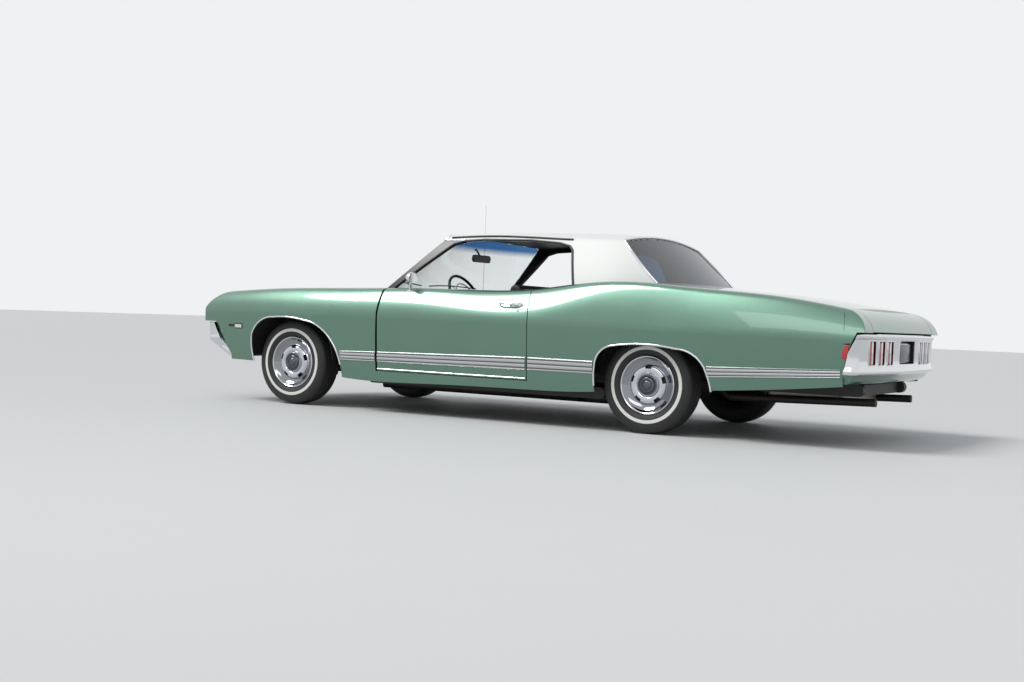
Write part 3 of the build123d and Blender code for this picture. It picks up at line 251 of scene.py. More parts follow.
def smooth_curve(xs, ys):
    """Natural cubic through the rows of ys at the places xs."""
    n, h = len(xs), np.diff(xs)
    a, r = np.eye(n), np.zeros_like(ys)
    for i in range(1, n - 1):
        a[i, i - 1 : i + 2] = h[i - 1], 2 * (h[i - 1] + h[i]), h[i]
        r[i] = 6 * ((ys[i + 1] - ys[i]) / h[i] - (ys[i] - ys[i - 1]) / h[i - 1])
    m = np.linalg.solve(a, r)
    def at(x):
        i = int(np.clip(np.searchsorted(xs, x) - 1, 0, n - 2))
        p, q = xs[i + 1] - x, x - xs[i]
        bend = m[i] * p**3 / (6 * h[i]) + m[i + 1] * q**3 / (6 * h[i])
        left = ys[i] / h[i] - m[i] * h[i] / 6
        right = ys[i + 1] / h[i] - m[i + 1] * h[i] / 6
        return bend + left * p + right * q
    return at

section_row = smooth_curve(SECTIONS[:, 0], SECTIONS[:, 1:])

def bow(a, m, b, n):
    """n points on the curve from a through m towards b, without b."""
    t = np.linspace(0, 1, n, endpoint=False)[:, None]
    a, m, b = map(np.array, (a, m, b))
    c = 2 * m - (a + b) / 2
    return (1 - t) ** 2 * a + 2 * t * (1 - t) * c + t**2 * b

def relaxed(points, count, sigma):
    """The same line with its corners rounded, as count points at even steps."""
    step = np.r_[0, np.cumsum(np.hypot(*np.diff(points, axis=0).T))]
    even = np.linspace(0, step[-1], 500)
    line = np.c_[np.interp(even, step, points[:, 0]), np.interp(even, step, points[:, 1])]
    width = sigma / even[1]
    k = np.exp(-0.5 * (np.arange(-20, 21) / width) ** 2)
    k /= k.sum()
    start = 2 * line[0] - line[20:0:-1]
    end = 2 * line[-1] - line[-2:-22:-1]
    long = np.vstack([start, line, end])
    line = np.c_[np.convolve(long[:, 0], k, "valid"), np.convolve(long[:, 1], k, "valid")]
    pick = np.linspace(0, even[-1], count)
    return np.c_[np.interp(pick, even, line[:, 0]), np.interp(pick, even, line[:, 1])]

def body_section(x, count=84):
    """Points (y, z) of the left half of the body at x, from the sill up to the middle."""
    cy, cz, hy, hz, ty, tz, crown, sy, sz = section_row(np.clip(x, SECTIONS[0, 0], SECTIONS[-1, 0]))
    parts = [
        bow((sy, sz), ((sy + cy) / 2 + 0.006, (sz + cz) / 2), (cy, cz), 40),
        bow((cy, cz), ((cy + hy) / 2 + 0.009, (cz + hz) / 2 + 0.005), (hy, hz), 20),
        bow((hy, hz), ((hy + ty) / 2 + 0.004, (hz + tz) / 2 + 0.006), (ty, tz), 10),
        bow((ty, tz), (ty / 2, crown - (crown - tz) / 4), (0, crown), 60),
        np.array([(0, crown)]),
    ]
    line = relaxed(np.vstack(parts), count, 0.009)
    line[0] = (sy, sz)
    line[-1] = (0, crown)
    return line

TAIL = bow((-2.690, 0.722), (-2.647, 0.819), (-2.548, 0.882), 20)
NOSE = bow((2.668, 0.722), (2.588, 0.806), (2.455, 0.867), 20)

def held_in(x, z):
    """x pulled in so that it stays between the tail and nose curves."""
    tail = np.interp(z, TAIL[:, 1], TAIL[:, 0])
    nose = np.interp(z, NOSE[:, 1], NOSE[:, 0])
    soft = 0.007
    x = tail + soft * np.logaddexp(0, (x - tail) / soft)
    return nose - soft * np.logaddexp(0, (nose - x) / soft)

def end_rows(x, inner, count=16):
    """Sections that close an end: they shrink towards the bumper line."""
    rows = []
    base = body_section(x)
    for s in np.linspace(0, 1, count)[1:]:
        high = base[:, 1] > 0.7
        target = np.c_[np.minimum(base[:, 0], inner), np.where(high, 0.7, base[:, 1])]
        target[~high, 0] = inner
        rows.append(base + s * (target - base))
    return rows

def body_table(x_low, x_high):
    """Rows of section points between two places, with the closed ends where they are reached."""
    xs = np.arange(max(x_low, -2.4), min(x_high, 2.3) + 1e-6, 0.026)
    rows = [(x, body_section(x)) for x in xs]
    if x_low < -2.7:
        near = [(x, body_section(x)) for x in np.arange(-2.73, -2.401, 0.009)]
        rows = [(-2.80, r) for r in end_rows(-2.73, 0.875)[::-1]] + near + rows
    if x_high > 2.7:
        near = [(x, body_section(x)) for x in np.arange(2.31, 2.731, 0.009)]
        rows = rows + near + [(2.80, r) for r in end_rows(2.73, 0.865)]
    table = np.zeros((len(rows), len(rows[0][1]), 3))
    for i, (x, line) in enumerate(rows):
        table[i, :, 0] = held_in(np.full(len(line), x), line[:, 1])
        table[i, :, 1:] = line
    return table

def laid_grid(table):
    """A bmesh grid whose points are laid on a table of places."""
    bm = bmesh.new()
    nu, nv = table.shape[:2]
    bmesh.ops.create_grid(bm, x_segments=nu - 1, y_segments=nv - 1, size=0.5)
    for v in bm.verts:
        i, j = round((v.co.x + 0.5) * (nu - 1)), round((v.co.y + 0.5) * (nv - 1))
        v.co = table[i, j]
    bmesh.ops.remove_doubles(bm, verts=bm.verts, dist=1e-5)
    bmesh.ops.dissolve_degenerate(bm, edges=bm.edges, dist=1e-6)
    return bm

print("body table", body_table(-3, 3).shape)

# %% [markdown]
# Every panel is the skin inside one outline and outside others. bisect_plane cuts along the
# sides of a convex outline one after the other, and only what is still inside is cut on,
# so the skin outside keeps its clean grid.

# %% Cutting the skin along outlines
AXES = {"y": (0, 2), "z": (0, 1), "x": (1, 2)}

def cut_outline(bm, axis, outline, keep):
    """Keeps or removes what lies in a convex outline, seen along an axis; metres."""
    u, v = AXES[axis]
    pts = np.array(outline, float)
    area = sum(pts[i - 1][0] * pts[i][1] - pts[i][0] * pts[i - 1][1] for i in range(len(pts)))
    if area < 0:
        pts = pts[::-1]
    inside = list(bm.faces)
    for i in range(len(pts)):
        p, q = pts[i - 1], pts[i]
        flat = np.array((q[1] - p[1], p[0] - q[0]))
        flat /= np.hypot(*flat)
        co, no = [0.0] * 3, [0.0] * 3
        co[u], co[v] = p
        no[u], no[v] = flat
        co, no = Vector(co), Vector(no)
        geom = set(inside)
        for f in inside:
            geom.update(f.edges)
            geom.update(f.verts)
        cut = bmesh.ops.bisect_plane(bm, geom=list(geom), dist=1e-6, plane_co=co, plane_no=no)
        inside = [
            f for f in cut["geom"]
            if isinstance(f, bmesh.types.BMFace) and (f.calc_center_median() - co).dot(no) < 0
        ]
        if not inside:
            break
    gone = [f for f in bm.faces if f not in set(inside)] if keep else inside
    bmesh.ops.delete(bm, geom=gone, context="FACES")
    return bm

def arc_side(centre, radius, start, end, count=14):
    return [
        (centre[0] + radius * math.cos(math.radians(a)), centre[1] + radius * math.sin(math.radians(a)))
        for a in np.linspace(start, end, count)
    ]

def round_arc(a, m, b, count):
    """count points on the true circle from a through m towards b, without b."""
    (ax, ay), (mx, my), (bx, by) = a, m, b
    d = 2 * (ax * (my - by) + mx * (by - ay) + bx * (ay - my))
    cx = ((ax**2 + ay**2) * (my - by) + (mx**2 + my**2) * (by - ay) + (bx**2 + by**2) * (ay - my)) / d
    cy = ((ax**2 + ay**2) * (bx - mx) + (mx**2 + my**2) * (ax - bx) + (bx**2 + by**2) * (mx - ax)) / d
    start, middle, end = (math.atan2(y - cy, x - cx) for x, y in (a, m, b))
    turn = (end - start) % (2 * math.pi)
    if (middle - start) % (2 * math.pi) > turn:
        turn -= 2 * math.pi
    radius = math.hypot(ax - cx, ay - cy)
    return [
        (cx + radius * math.cos(start + turn * t), cy + radius * math.sin(start + turn * t))
        for t in np.linspace(0, 1, count, endpoint=False)
    ]

def chained(start, arcs, count=8):
    """Outline through three-point arcs, as (middle, end) pairs."""
    line, point = [], start
    for middle, end in arcs:
        line.extend(round_arc(point, middle, end, count))
        point = end
    return line + [point]

FRONT_ARCH = [
    (a / 1000, b / 1000)
    for a, b in chained(
        (1246, 200),
        [
            ((1277, 410), (1355, 533)), ((1455, 612), (1610, 657)), ((1755, 675), (1915, 671)),
            ((2065, 628), (2147, 530)), ((2153, 440), (2080, 200))
        ]
    )
]
REAR_ARCH = [
    (a / 1000, b / 1000)
    for a, b in chained(
        (-913, 150),
        [
            ((-881, 330), (-891, 462)), ((-927, 532), (-1005, 577)), ((-1235, 599), (-1475, 579)),
            ((-1605, 540), (-1670, 470)), ((-1703, 380), (-1709, 150))
        ]
    )
]
print("arch points", len(FRONT_ARCH), len(REAR_ARCH))

# %% Turning a cut sheet into a piece
def shown(name, bm, finish, body, nodes=(), sharp=40):
    """Makes an object from a bmesh, smooth except at sharp edges, riding on a body."""
    for f in bm.faces:
        f.smooth = True
    for e in bm.edges:
        if len(e.link_faces) == 2 and e.calc_face_angle(0) > math.radians(sharp):
            e.smooth = False
    mesh = bpy.data.meshes.new(name)
    bm.to_mesh(mesh)
    bm.free()
    for m in finish if isinstance(finish, (list, tuple)) else [finish]:
        mesh.materials.append(m)
    obj = bpy.data.objects.new(name, mesh)
    bpy.context.scene.collection.objects.link(obj)
    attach(obj, body)
    if nodes:
        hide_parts(*nodes)
    return obj

def faced_out(bm, centre=(0, 0, 0.5)):
    """Turns an open sheet so that its faces look away from the middle of the car."""
    total = sum(
        (
            f.calc_center_median() - Vector((f.calc_center_median().x, centre[1], centre[2]))
        ).dot(f.normal) * f.calc_area()
        for f in bm.faces
    )
    if total < 0:
        bmesh.ops.reverse_faces(bm, faces=bm.faces)
    bm.normal_update()
    return bm

def walled(obj, thickness, edge=0.0015):
    wall = obj.modifiers.new("wall", "SOLIDIFY")
    wall.thickness = thickness
    wall.offset = -1
    wall.use_even_offset = False
    rim = obj.modifiers.new("edge", "BEVEL")
    rim.width = edge
    rim.segments = 2
    rim.limit_method = "ANGLE"
    rim.angle_limit = math.radians(50)
    rim.harden_normals = True
    return obj

def whole_width(bm):
    """Adds the right half and joins the two on the centre plane."""
    bmesh.ops.mirror(
        bm, geom=bm.verts[:] + bm.edges[:] + bm.faces[:], matrix=Matrix.Identity(4), merge_dist=0.0004,
        axis="Y"
    )
    bmesh.ops.recalc_face_normals(bm, faces=bm.faces)
    return faced_out(bm)

def other_side(bm):
    """A mirrored copy for the right-hand side."""
    copy = bm.copy()
    bmesh.ops.scale(copy, vec=(1, -1, 1), verts=copy.verts)
    bmesh.ops.reverse_faces(copy, faces=copy.faces)
    return copy

# %% [markdown]
# Hood and trunk lid: wide crowned sheets. The hood ends over the lamps and the lid
# turns down at the tail, so both take in the closed ends of the skin.

# %% Hood, trunk lid, deck and cowl
FASCIA = [(-1, 0.6), (-1, 0.806), (0.872, 0.806), (0.872, 0.6)]
bm = laid_grid(body_table(1.1, 3))
cut_outline(bm, "z", [(1.250, -0.02), (1.250, 0.700), (2.9, 0.778), (2.9, -0.02)], True)
cut_outline(bm, "x", FASCIA, False)
hood = walled(shown("hood_panel", whole_width(bm), PAINT, "hood", ["hood"]), 0.018)
bm = laid_grid(body_table(-3, -1.4))
cut_outline(bm, "z", [(-1.549, -0.02), (-1.549, 0.700), (-2.9, 0.748), (-2.9, -0.02)], True)
cut_outline(bm, "x", [(-1, 0.738), (-1, 2), (2, 2), (2, 0.738)], True)
trunk = walled(
    shown("trunk_lid_panel", whole_width(bm), PAINT, "trunk_lid", ["trunk_lid"]), 0.018
)
bm = laid_grid(body_table(-1.65, -1.1))
cut_outline(
    bm, "z", [(-1.165, -0.02), (-1.165, 0.790), (-1.225, 0.7055), (-1.541, 0.7055), (-1.541, -0.02)],
    True
)
deck = walled(shown("deck_panel", whole_width(bm), PAINT, "body", ["rear_deck_panel"]), 0.016)
bm = laid_grid(body_table(0.8, 1.3))
cut_outline(
    bm, "z",
    [(0.93, -0.02), (0.93, 0.858), (0.972, 0.858), (0.972, 0.740), (1.243, 0.740), (1.243, -0.02)], True
)
cowl = walled(shown("cowl_panel", whole_width(bm), PAINT, "body"), 0.010)
print("centre panels", [len(o.data.polygons) for o in (hood, trunk, deck, cowl)])

# %% [markdown]
# Side panels. The door's front edge follows a circle round its hinge, so it can turn inside
# the fender. The gap between two panels is left by cutting each along its own outline. Where
# the hinge straps reach into a door, its edge and inner face are cut open.

# %% Fenders, doors, quarters and rockers
DOOR_HINGE = (0.850, 0.960)
DOOR_EDGE_RADIUS = 0.079
FENDER_EDGE_RADIUS = 0.0855
DOOR_PLAN = [(-0.6, 0.6), (-0.6, 1.2)] + arc_side(
    DOOR_HINGE, DOOR_EDGE_RADIUS, 90, -45
) + [(0.905, 0.6)]
FENDER_PLAN = [(-0.6, 0.5), (-0.6, 1.2)] + arc_side(
    DOOR_HINGE, FENDER_EDGE_RADIUS, 90, -30
) + [(0.9245, 0.5)]

def side_pair(name, bm, finish, bodies, nodes, thickness):
    right = other_side(bm)
    made = []
    for side, sheet, body in (("left", bm, bodies[0]), ("right", right, bodies[1])):
        made.append(walled(
            shown(f"{name}_{side}", sheet, finish, body, [n.format(side) for n in nodes]),
            thickness
        ))
    return made

bm = laid_grid(body_table(0.85, 3))
cut_outline(bm, "z", FENDER_PLAN, False)
cut_outline(bm, "y", FRONT_ARCH, False)
cut_outline(bm, "z", [(1.2395, -0.1), (1.2395, 0.706), (2.9, 0.784), (2.9, -0.1)], False)
cut_outline(bm, "z", [(0.8, -0.1), (0.8, 0.7405), (1.245, 0.7405), (1.245, -0.1)], False)
cut_outline(bm, "z", [(0.8, 0.5), (0.8, 0.8585), (0.9725, 0.8585), (0.9725, 0.5)], False)
cut_outline(bm, "x", FASCIA, False)
cut_outline(bm, "y", [(2.8, 0.617), (2.541, 0.617), (2.468, 0.479), (2.8, 0.479)], False)
cut_outline(bm, "y", [(2.8, 0.479), (2.468, 0.479), (2.381, 0.364), (2.381, 0.2), (2.8, 0.2)], False)
cut_outline(bm, "y", [(0.8, 0.1), (0.8, 0.3065), (1.245, 0.3065), (1.245, 0.1)], False)
fenders = side_pair(
    "fender", faced_out(bm), PAINT, ("body", "body"), ["front_fender_{}"], 0.004
)

bm = laid_grid(body_table(-0.5, 1.0))
cut_outline(bm, "y", [(-0.363, 0.312), (1.1, 0.312), (1.1, 1.1), (-0.295, 1.1), (-0.363, 0.730)], True)
cut_outline(bm, "z", DOOR_PLAN, True)
cut_outline(bm, "z", [(-0.6, 0.800), (-0.6, 1.2), (1.1, 1.2), (1.1, 0.800)], True)
cut_outline(bm, "z", [(0.812, 0.6), (0.812, 0.872), (1.1, 0.872), (1.1, 0.6)], False)
faced_out(bm)
rim = [e for e in bm.edges if e.is_boundary]
grown = bmesh.ops.extrude_edge_only(bm, edges=rim)["geom"]
for v in [g for g in grown if isinstance(g, bmesh.types.BMVert)]:
    v.co.y = min(v.co.y, 0.888)
    v.co.x = min(v.co.x, 0.898)
    if v.co.z > 0.85 and v.co.y < 0.83:
        v.co.z -= 0.03
inner = [g for g in grown if isinstance(g, bmesh.types.BMEdge) and g.is_boundary]
bmesh.ops.triangle_fill(bm, edges=inner, use_beauty=True)
bmesh.ops.recalc_face_normals(bm, faces=bm.faces)
STRAP_BANDS = ((0.422, 0.498), (0.732, 0.808))
POCKET_BACK_X = 0.815
POCKET_OUT_Y = 0.972

def in_pocket(c):
    at_strap = any(low < c.z < high for low, high in STRAP_BANDS)
    return c.x > POCKET_BACK_X and c.y < POCKET_OUT_Y and at_strap

pocket_planes = [((0, 0, z), (0, 0, 1)) for band in STRAP_BANDS for z in band]
pocket_planes += [((POCKET_BACK_X, 0, 0), (1, 0, 0)), ((0, POCKET_OUT_Y, 0), (0, 1, 0))]
for co, no in pocket_planes:
    near = [f for f in bm.faces if max(v.co.x for v in f.verts) > POCKET_BACK_X]
    near = [f for f in near if f.calc_center_median().y < POCKET_OUT_Y]
    geom = set(near)
    for f in near:
        geom.update(f.edges)
        geom.update(f.verts)
    bmesh.ops.bisect_plane(bm, geom=list(geom), dist=1e-6, plane_co=co, plane_no=no)
pocket_faces = [f for f in bm.faces if in_pocket(f.calc_center_median())]
bmesh.ops.delete(bm, geom=pocket_faces, context="FACES")
for side, sheet in (("right", other_side(bm)), ("left", bm)):
    shown(f"door_shell_{side}", sheet, PAINT, f"door_{side}", [f"door_{side}"])

bm = laid_grid(body_table(-3, -0.2))
cut_outline(bm, "y", [(-0.369, 0.0), (-0.369, 0.730), (-0.301, 1.1), (0.5, 1.1), (0.5, 0.0)], False)
cut_outline(bm, "y", REAR_ARCH, False)
cut_outline(bm, "z", [(-1.5425, -0.1), (-1.5425, 0.706), (-2.9, 0.754), (-2.9, -0.1)], False)
cut_outline(
    bm, "z", [(0, -0.1), (0, 0.790), (-1.165, 0.790), (-1.225, 0.706), (-1.56, 0.706), (-1.56, -0.1)],
    False
)
cut_outline(
    bm, "y",
    [(-2.639, 0.733), (-2.85, 0.733), (-2.85, 0.2), (-2.560, 0.2), (-2.560, 0.464), (-2.587, 0.605)],
    False
)
quarters = side_pair(
    "quarter", faced_out(bm), PAINT, ("body", "body"), ["body_side_{}"], 0.004
)

bm = laid_grid(body_table(-0.95, 1.3))
cut_outline(bm, "y", [(-0.3685, 0.1), (-0.3685, 0.306), (1.242, 0.306), (1.242, 0.1)], True)
rockers = side_pair("rocker", faced_out(bm), PAINT, ("body", "body"), [], 0.02)
print("side panels", [len(o.data.polygons) for o in fenders + quarters + rockers])

# %% [markdown]
# The roof is a second skin over the belt. Windshield and rear glass are arcs in plan that lean
# back, so the skin is trimmed by the flat strips of such an arc, one bisect_plane for each.

# %% Roof skin and its trimming
CABIN = np.array([
    (-1345, 1290, 610, 1220, 700),
    (-960, 1350, 662, 1286, 846),
    (-705, 1376, 678, 1300, 872),
    (-445, 1383, 686, 1308, 878),
    (55, 1384, 688, 1325, 876),
    (555, 1360, 685, 1308, 874),
    (1255, 1290, 685, 1250, 872),
]) / 1000
CABIN_BASE_Z = 0.88
cabin_row = smooth_curve(CABIN[:, 0], CABIN[:, 1:])

def cabin_section(x, count=72):
    crown, gy, gz, by = cabin_row(x)
    edge = (gy - 0.045, gz + 0.020)
    parts = [
        bow((by, CABIN_BASE_Z), ((by + gy) / 2 + 0.014, (CABIN_BASE_Z + gz) / 2 + 0.006), (gy, gz), 40),
        bow((gy, gz), (gy - 0.0175, gz + 0.016), edge, 10),
        bow(edge, (edge[0] / 2, crown - (crown - edge[1]) / 4), (0, crown), 50),
        np.array([(0, crown)]),
    ]
    line = relaxed(np.vstack(parts), count, 0.008)
    line[0] = (by, CABIN_BASE_Z)
    line[-1] = (0, crown)
    return line

def cabin_table(x_low, x_high, step=0.024):
    xs = np.arange(x_low, x_high + 1e-6, step)
    return np.array([[(x, y, z) for y, z in cabin_section(x)] for x in xs])

def glass_planes(corner, out, rake, way, count=20):
    """Flat strips of a leaning arc: points and outward directions."""
    x, y, z = corner
    radius = (y * y + out * out) / (2 * out)
    slope = Vector((-way * math.cos(math.radians(rake)), 0, math.sin(math.radians(rake))))
    ys = np.linspace(-0.95, 0.95, count)
    line = [Vector((x + way * (out - (radius - math.sqrt(radius**2 - t * t))), t, z)) for t in ys]
    planes = []
    for p, q in zip(line, line[1:]):
        no = (q - p).cross(slope).normalized()
        if no.x * way < 0:
            no = -no
        planes.append((p, no))
    return planes

FRONT_ARC = ((0.951, 0.700, 0.978), 0.170, 37.2, 1)
REAR_ARC = ((-1.184, 0.636, 1.046), 0.050, 44, -1)
FRONT_GLASS = glass_planes(*FRONT_ARC)
REAR_GLASS = glass_planes(*REAR_ARC)

def trimmed(bm, planes):
    for co, no in planes:
        bmesh.ops.bisect_plane(
            bm, geom=bm.verts[:] + bm.edges[:] + bm.faces[:], dist=1e-6, plane_co=co, plane_no=no,
            clear_outer=True
        )
    return bm

SIDE_WINDOW = [
    (a / 1000, b / 1000)
    for a, b in [
        (865, 860), (860, 930), (779, 998), (445, 1262), (355, 1286), (184, 1297), (-202, 1294),
        (-435, 1276), (-523, 1254), (-551, 1225), (-623, 985), (-635, 860)
    ]
]
ROOF_SPLIT = [(0.355, 0.5), (0.355, 1.292), (1.5, 1.292), (1.5, 0.5)]
sheet = laid_grid(cabin_table(-1.345, 1.255))
trimmed(sheet, FRONT_GLASS)
trimmed(sheet, REAR_GLASS)
cut_outline(sheet, "y", SIDE_WINDOW, False)
bm = sheet.copy()
cut_outline(bm, "y", ROOF_SPLIT, False)
roof_edges = bm.copy()
roof = walled(
    shown("vinyl_roof", whole_width(bm), [VINYL, BLACK_VINYL], "body", ["roof"]), 0.018
)
roof.modifiers["wall"].material_offset = 1
bm = sheet
cut_outline(bm, "y", ROOF_SPLIT, True)
for side, half in (("right", other_side(bm)), ("left", faced_out(bm))):
    walled(
        shown(f"windshield_pillar_{side}", half, DARK_TRIM, "body", ["windshield_frame"]),
        0.022
    )
print("roof faces", len(roof.data.polygons))

# %% [markdown]
# Bright and dark mouldings follow panel edges, so their lines are read from those edges and a
# round curve bevel gives them their body. A curve is turned into a mesh before it is used.

# %% Lines along edges, and tubes on them
def edge_lines(bm, wanted):
    """Open edges whose middle passes the test, as ordered lines of points."""
    edges = {e for e in bm.edges if e.is_boundary and wanted((e.verts[0].co + e.verts[1].co) / 2)}
    lines = []
    while edges:
        e = edges.pop()
        line = [e.verts[0], e.verts[1]]
        for end in (1, 0):
            while True:
                tip = line[-1] if end else line[0]
                step = next((x for x in tip.link_edges if x in edges), None)
                if step is None:
                    break
                edges.discard(step)
                far = step.other_vert(tip)
                if end:
                    line.append(far)
                else:
                    line.insert(0, far)
        lines.append([v.co.copy() for v in line])
    return lines

def tube(name, line, radius, finish, body, closed=False, sides=3):
    curve = bpy.data.curves.new(name, "CURVE")
    curve.dimensions = "3D"
    curve.bevel_depth = radius
    curve.bevel_resolution = sides
    curve.use_fill_caps = True
    spline = curve.splines.new("POLY")
    spline.points.add(len(line) - 1)
    for point, co in zip(spline.points, line):
        point.co = (*co, 1)
    spline.use_cyclic_u = closed
    holder = bpy.data.objects.new(name + "_line", curve)
    bpy.context.scene.collection.objects.link(holder)
    bpy.context.view_layer.update()
    mesh = bpy.data.meshes.new_from_object(holder)
    bm = bmesh.new()
    bm.from_mesh(mesh)
    bpy.data.objects.remove(holder)
    bmesh.ops.remove_doubles(bm, verts=bm.verts, dist=1e-6)
    return shown(name, bm, finish, body, sharp=60)

def both_sides(name, line, radius, finish, bodies, closed=False):
    tube(name + "_left", line, radius, finish, bodies[0], closed)
    tube(name + "_right", [(p[0], -p[1], p[2]) for p in line], radius, finish, bodies[1], closed)

front_top = max(edge_lines(roof_edges, lambda c: c.x > 0.36 and c.z > 1.2 and c.y > 0.001), key=len)
full = sorted(
    [tuple(p) for p in front_top] + [(p[0], -p[1], p[2]) for p in front_top], key=lambda p: p[1]
)
tube("windshield_header_moulding", full, 0.007, CHROME, "body")
rear_line = max(
    edge_lines(roof_edges, lambda c: c.x < -0.9 and c.z > 0.99 and c.y > 0.001 and c.z < 1.36), key=len
)
both_sides(
    "rear_glass_moulding", [p for p in rear_line if p.z > 0.99], 0.008, CHROME, ("body", "body"),
)
drip = [(x, cabin_row(x)[1] + 0.004, cabin_row(x)[2] - 0.002) for x in np.linspace(-0.53, 0.48, 40)]
both_sides("drip_rail", drip, 0.0075, DARK_TRIM, ("body", "body"))
window = [p for p in SIDE_WINDOW if p[1] > 0.9]
dense = []
for p, q in zip(window, window[1:]):
    dense += [tuple(np.array(p) + (np.array(q) - p) * t) for t in np.linspace(0, 1, 8, endpoint=False)]
window_line = []
for x, z in dense + [window[-1]]:
    s = cabin_section(x)
    window_line.append((x, np.interp(z, s[:46, 1], s[:46, 0]) + 0.001, z))
both_sides("side_window_moulding", window_line, 0.0085, DARK_TRIM, ("body", "body"))
roof_edges.free()

# %% [markdown]
# A windshield is one sheet bent round a leaning arc, so it is laid as a fine grid on that arc.
# Only the part inside the roof skin and above the body is kept, and its rim hides behind the
# pillars. The windshield has a blue band along its top.

# %% Panes
def pane_material(name, colour, band, low, high):
    made = bpy.data.materials.new(name)
    made.use_nodes = True
    nodes, links = made.node_tree.nodes, made.node_tree.links
    shader = nodes["Principled BSDF"]
    shader.inputs["Roughness"].default_value = 0.0
    shader.inputs["Transmission Weight"].default_value = 1.0
    shader.inputs["IOR"].default_value = 1.45
    where = nodes.new("ShaderNodeTexCoord")
    split = nodes.new("ShaderNodeSeparateXYZ")
    links.new(where.outputs["Object"], split.inputs[0])
    height = nodes.new("ShaderNodeMapRange")
    height.inputs["From Min"].default_value = low
    height.inputs["From Max"].default_value = high
    links.new(split.outputs["Z"], height.inputs["Value"])
    tint = nodes.new("ShaderNodeMix")
    tint.data_type = "RGBA"
    tint.inputs[6].default_value = (*colour, 1)
    tint.inputs[7].default_value = (*band, 1)
    links.new(height.outputs["Result"], tint.inputs[0])
    links.new(tint.outputs[2], shader.inputs["Base Color"])
    return made

CLEAR = pane_material("windshield_glass", (0.90, 0.95, 0.94), (0.05, 0.16, 0.38), 1.235, 1.285)
# The rear glass colour is painted shade and dark reflection: dark blue, and darker still towards its
# top.
REAR_GLASS_PAINTED_SHADE = pane_material("rear_glass", (0.04, 0.075, 0.14), (0.015, 0.035, 0.085), 1.0, 1.25)

def pane(corner, out, rake, way, low_z, high_z, margin=0.009):
    """Grid on the leaning arc, kept where it lies inside the roof skin and above the body."""
    x, y, z = corner
    radius = (y * y + out * out) / (2 * out)
    run = math.cos(math.radians(rake)) / math.sin(math.radians(rake))
    ts, zs = np.linspace(0, 0.84, 94), np.arange(low_z, high_z, 0.009)
    table = np.array([
        [
            (
                x + way * (
                    out - radius + math.sqrt(radius**2 - t * t)
                ) - way * (h - z) * run - way * 0.008,
                t, h
            )
            for t in ts
        ]
        for h in zs
    ])
    bm = laid_grid(table)
    def outside(co):
        roof_line, belt_line = cabin_section(co.x), body_section(co.x)
        over = np.interp(co.y, roof_line[::-1, 0], roof_line[::-1, 1], right=0.0)
        under = np.interp(co.y, belt_line[::-1, 0], belt_line[::-1, 1])
        return co.z > over - margin or co.z < under - 0.012
    far = [v for v in bm.verts if outside(v.co)]
    bmesh.ops.delete(bm, geom=far, context="VERTS")
    return whole_width(bm)

front_pane = walled(
    shown(
        "windshield_pane", pane(*FRONT_ARC, 0.925, 1.375), CLEAR, "body", ["windshield"],
        sharp=60
    ),
    0.005, 0.0004
)
back_pane = walled(
    shown(
        "rear_pane", pane(*REAR_ARC, 0.985, 1.375), REAR_GLASS_PAINTED_SHADE, "body", ["rear_window"], sharp=60
    ),
    0.005, 0.0004
)
print("pane faces", len(front_pane.data.polygons), len(back_pane.data.polygons))

# %% [markdown]
# Side mouldings sit on the skin: their height is known along the car, and the skin's own
# section gives how far out they are.

# %% Ribbed strips and arch mouldings
def side_y(x, z):
    line = body_section(x)
    top = int(np.argmax(line[:, 1] > 0.80)) + 2
    return float(np.interp(z, line[:top, 1], line[:top, 0]))

STRIP_X = [-2.60, -2.582, -1.700, -0.876, -0.358, 0.900, 1.24]
STRIP_TOP = [0.503, 0.502, 0.477, 0.470, 0.471, 0.449, 0.440]
STRIP_LOW = [0.451, 0.450, 0.405, 0.383, 0.381, 0.373, 0.371]
RIB_COUNT = 3
GROOVE_SHADE_LEVEL = 0.28
# The groove colour is painted shade: a dark colour laid in the valleys between the ribs.
GROOVE_PAINTED_SHADE = material(
    "strip_groove_painted_shade", (0.10, 0.11, 0.11), metallic=0.5, rough=0.45, grain=600, bump=0.05, spread=0.1
)

def strip(name, x_low, x_high, bodies):
    cols, rows = max(8, int((x_high - x_low) / 0.03)), 19
    table = np.zeros((cols, rows, 3))
    for i, x in enumerate(np.linspace(x_low, x_high, cols)):
        top, low = np.interp(x, STRIP_X, STRIP_TOP), np.interp(x, STRIP_X, STRIP_LOW)
        for j, v in enumerate(np.linspace(0, 1, rows)):
            z = low + v * (top - low)
            lift = 0.0005 if j in (0, rows - 1) else 0.003 + 0.004 * abs(math.cos(
                math.pi * RIB_COUNT * v
            ))
            table[i, j] = (x, side_y(x, z) + lift, z)
    bm = laid_grid(table)
    for f in bm.faces:
        c = f.calc_center_median()
        top, low = np.interp(c.x, STRIP_X, STRIP_TOP), np.interp(c.x, STRIP_X, STRIP_LOW)
        v = (c.z - low) / (top - low)
        # Faces in the rib valleys take the painted shade colour.
        f.material_index = 1 if abs(math.cos(math.pi * RIB_COUNT * v)) < GROOVE_SHADE_LEVEL else 0
    faced_out(bm)
    right = other_side(bm)
    walled(shown(name + "_left", bm, [SATIN, GROOVE_PAINTED_SHADE], bodies[0]), 0.002, 0.0005)
    walled(shown(name + "_right", right, [SATIN, GROOVE_PAINTED_SHADE], bodies[1]), 0.002, 0.0005)

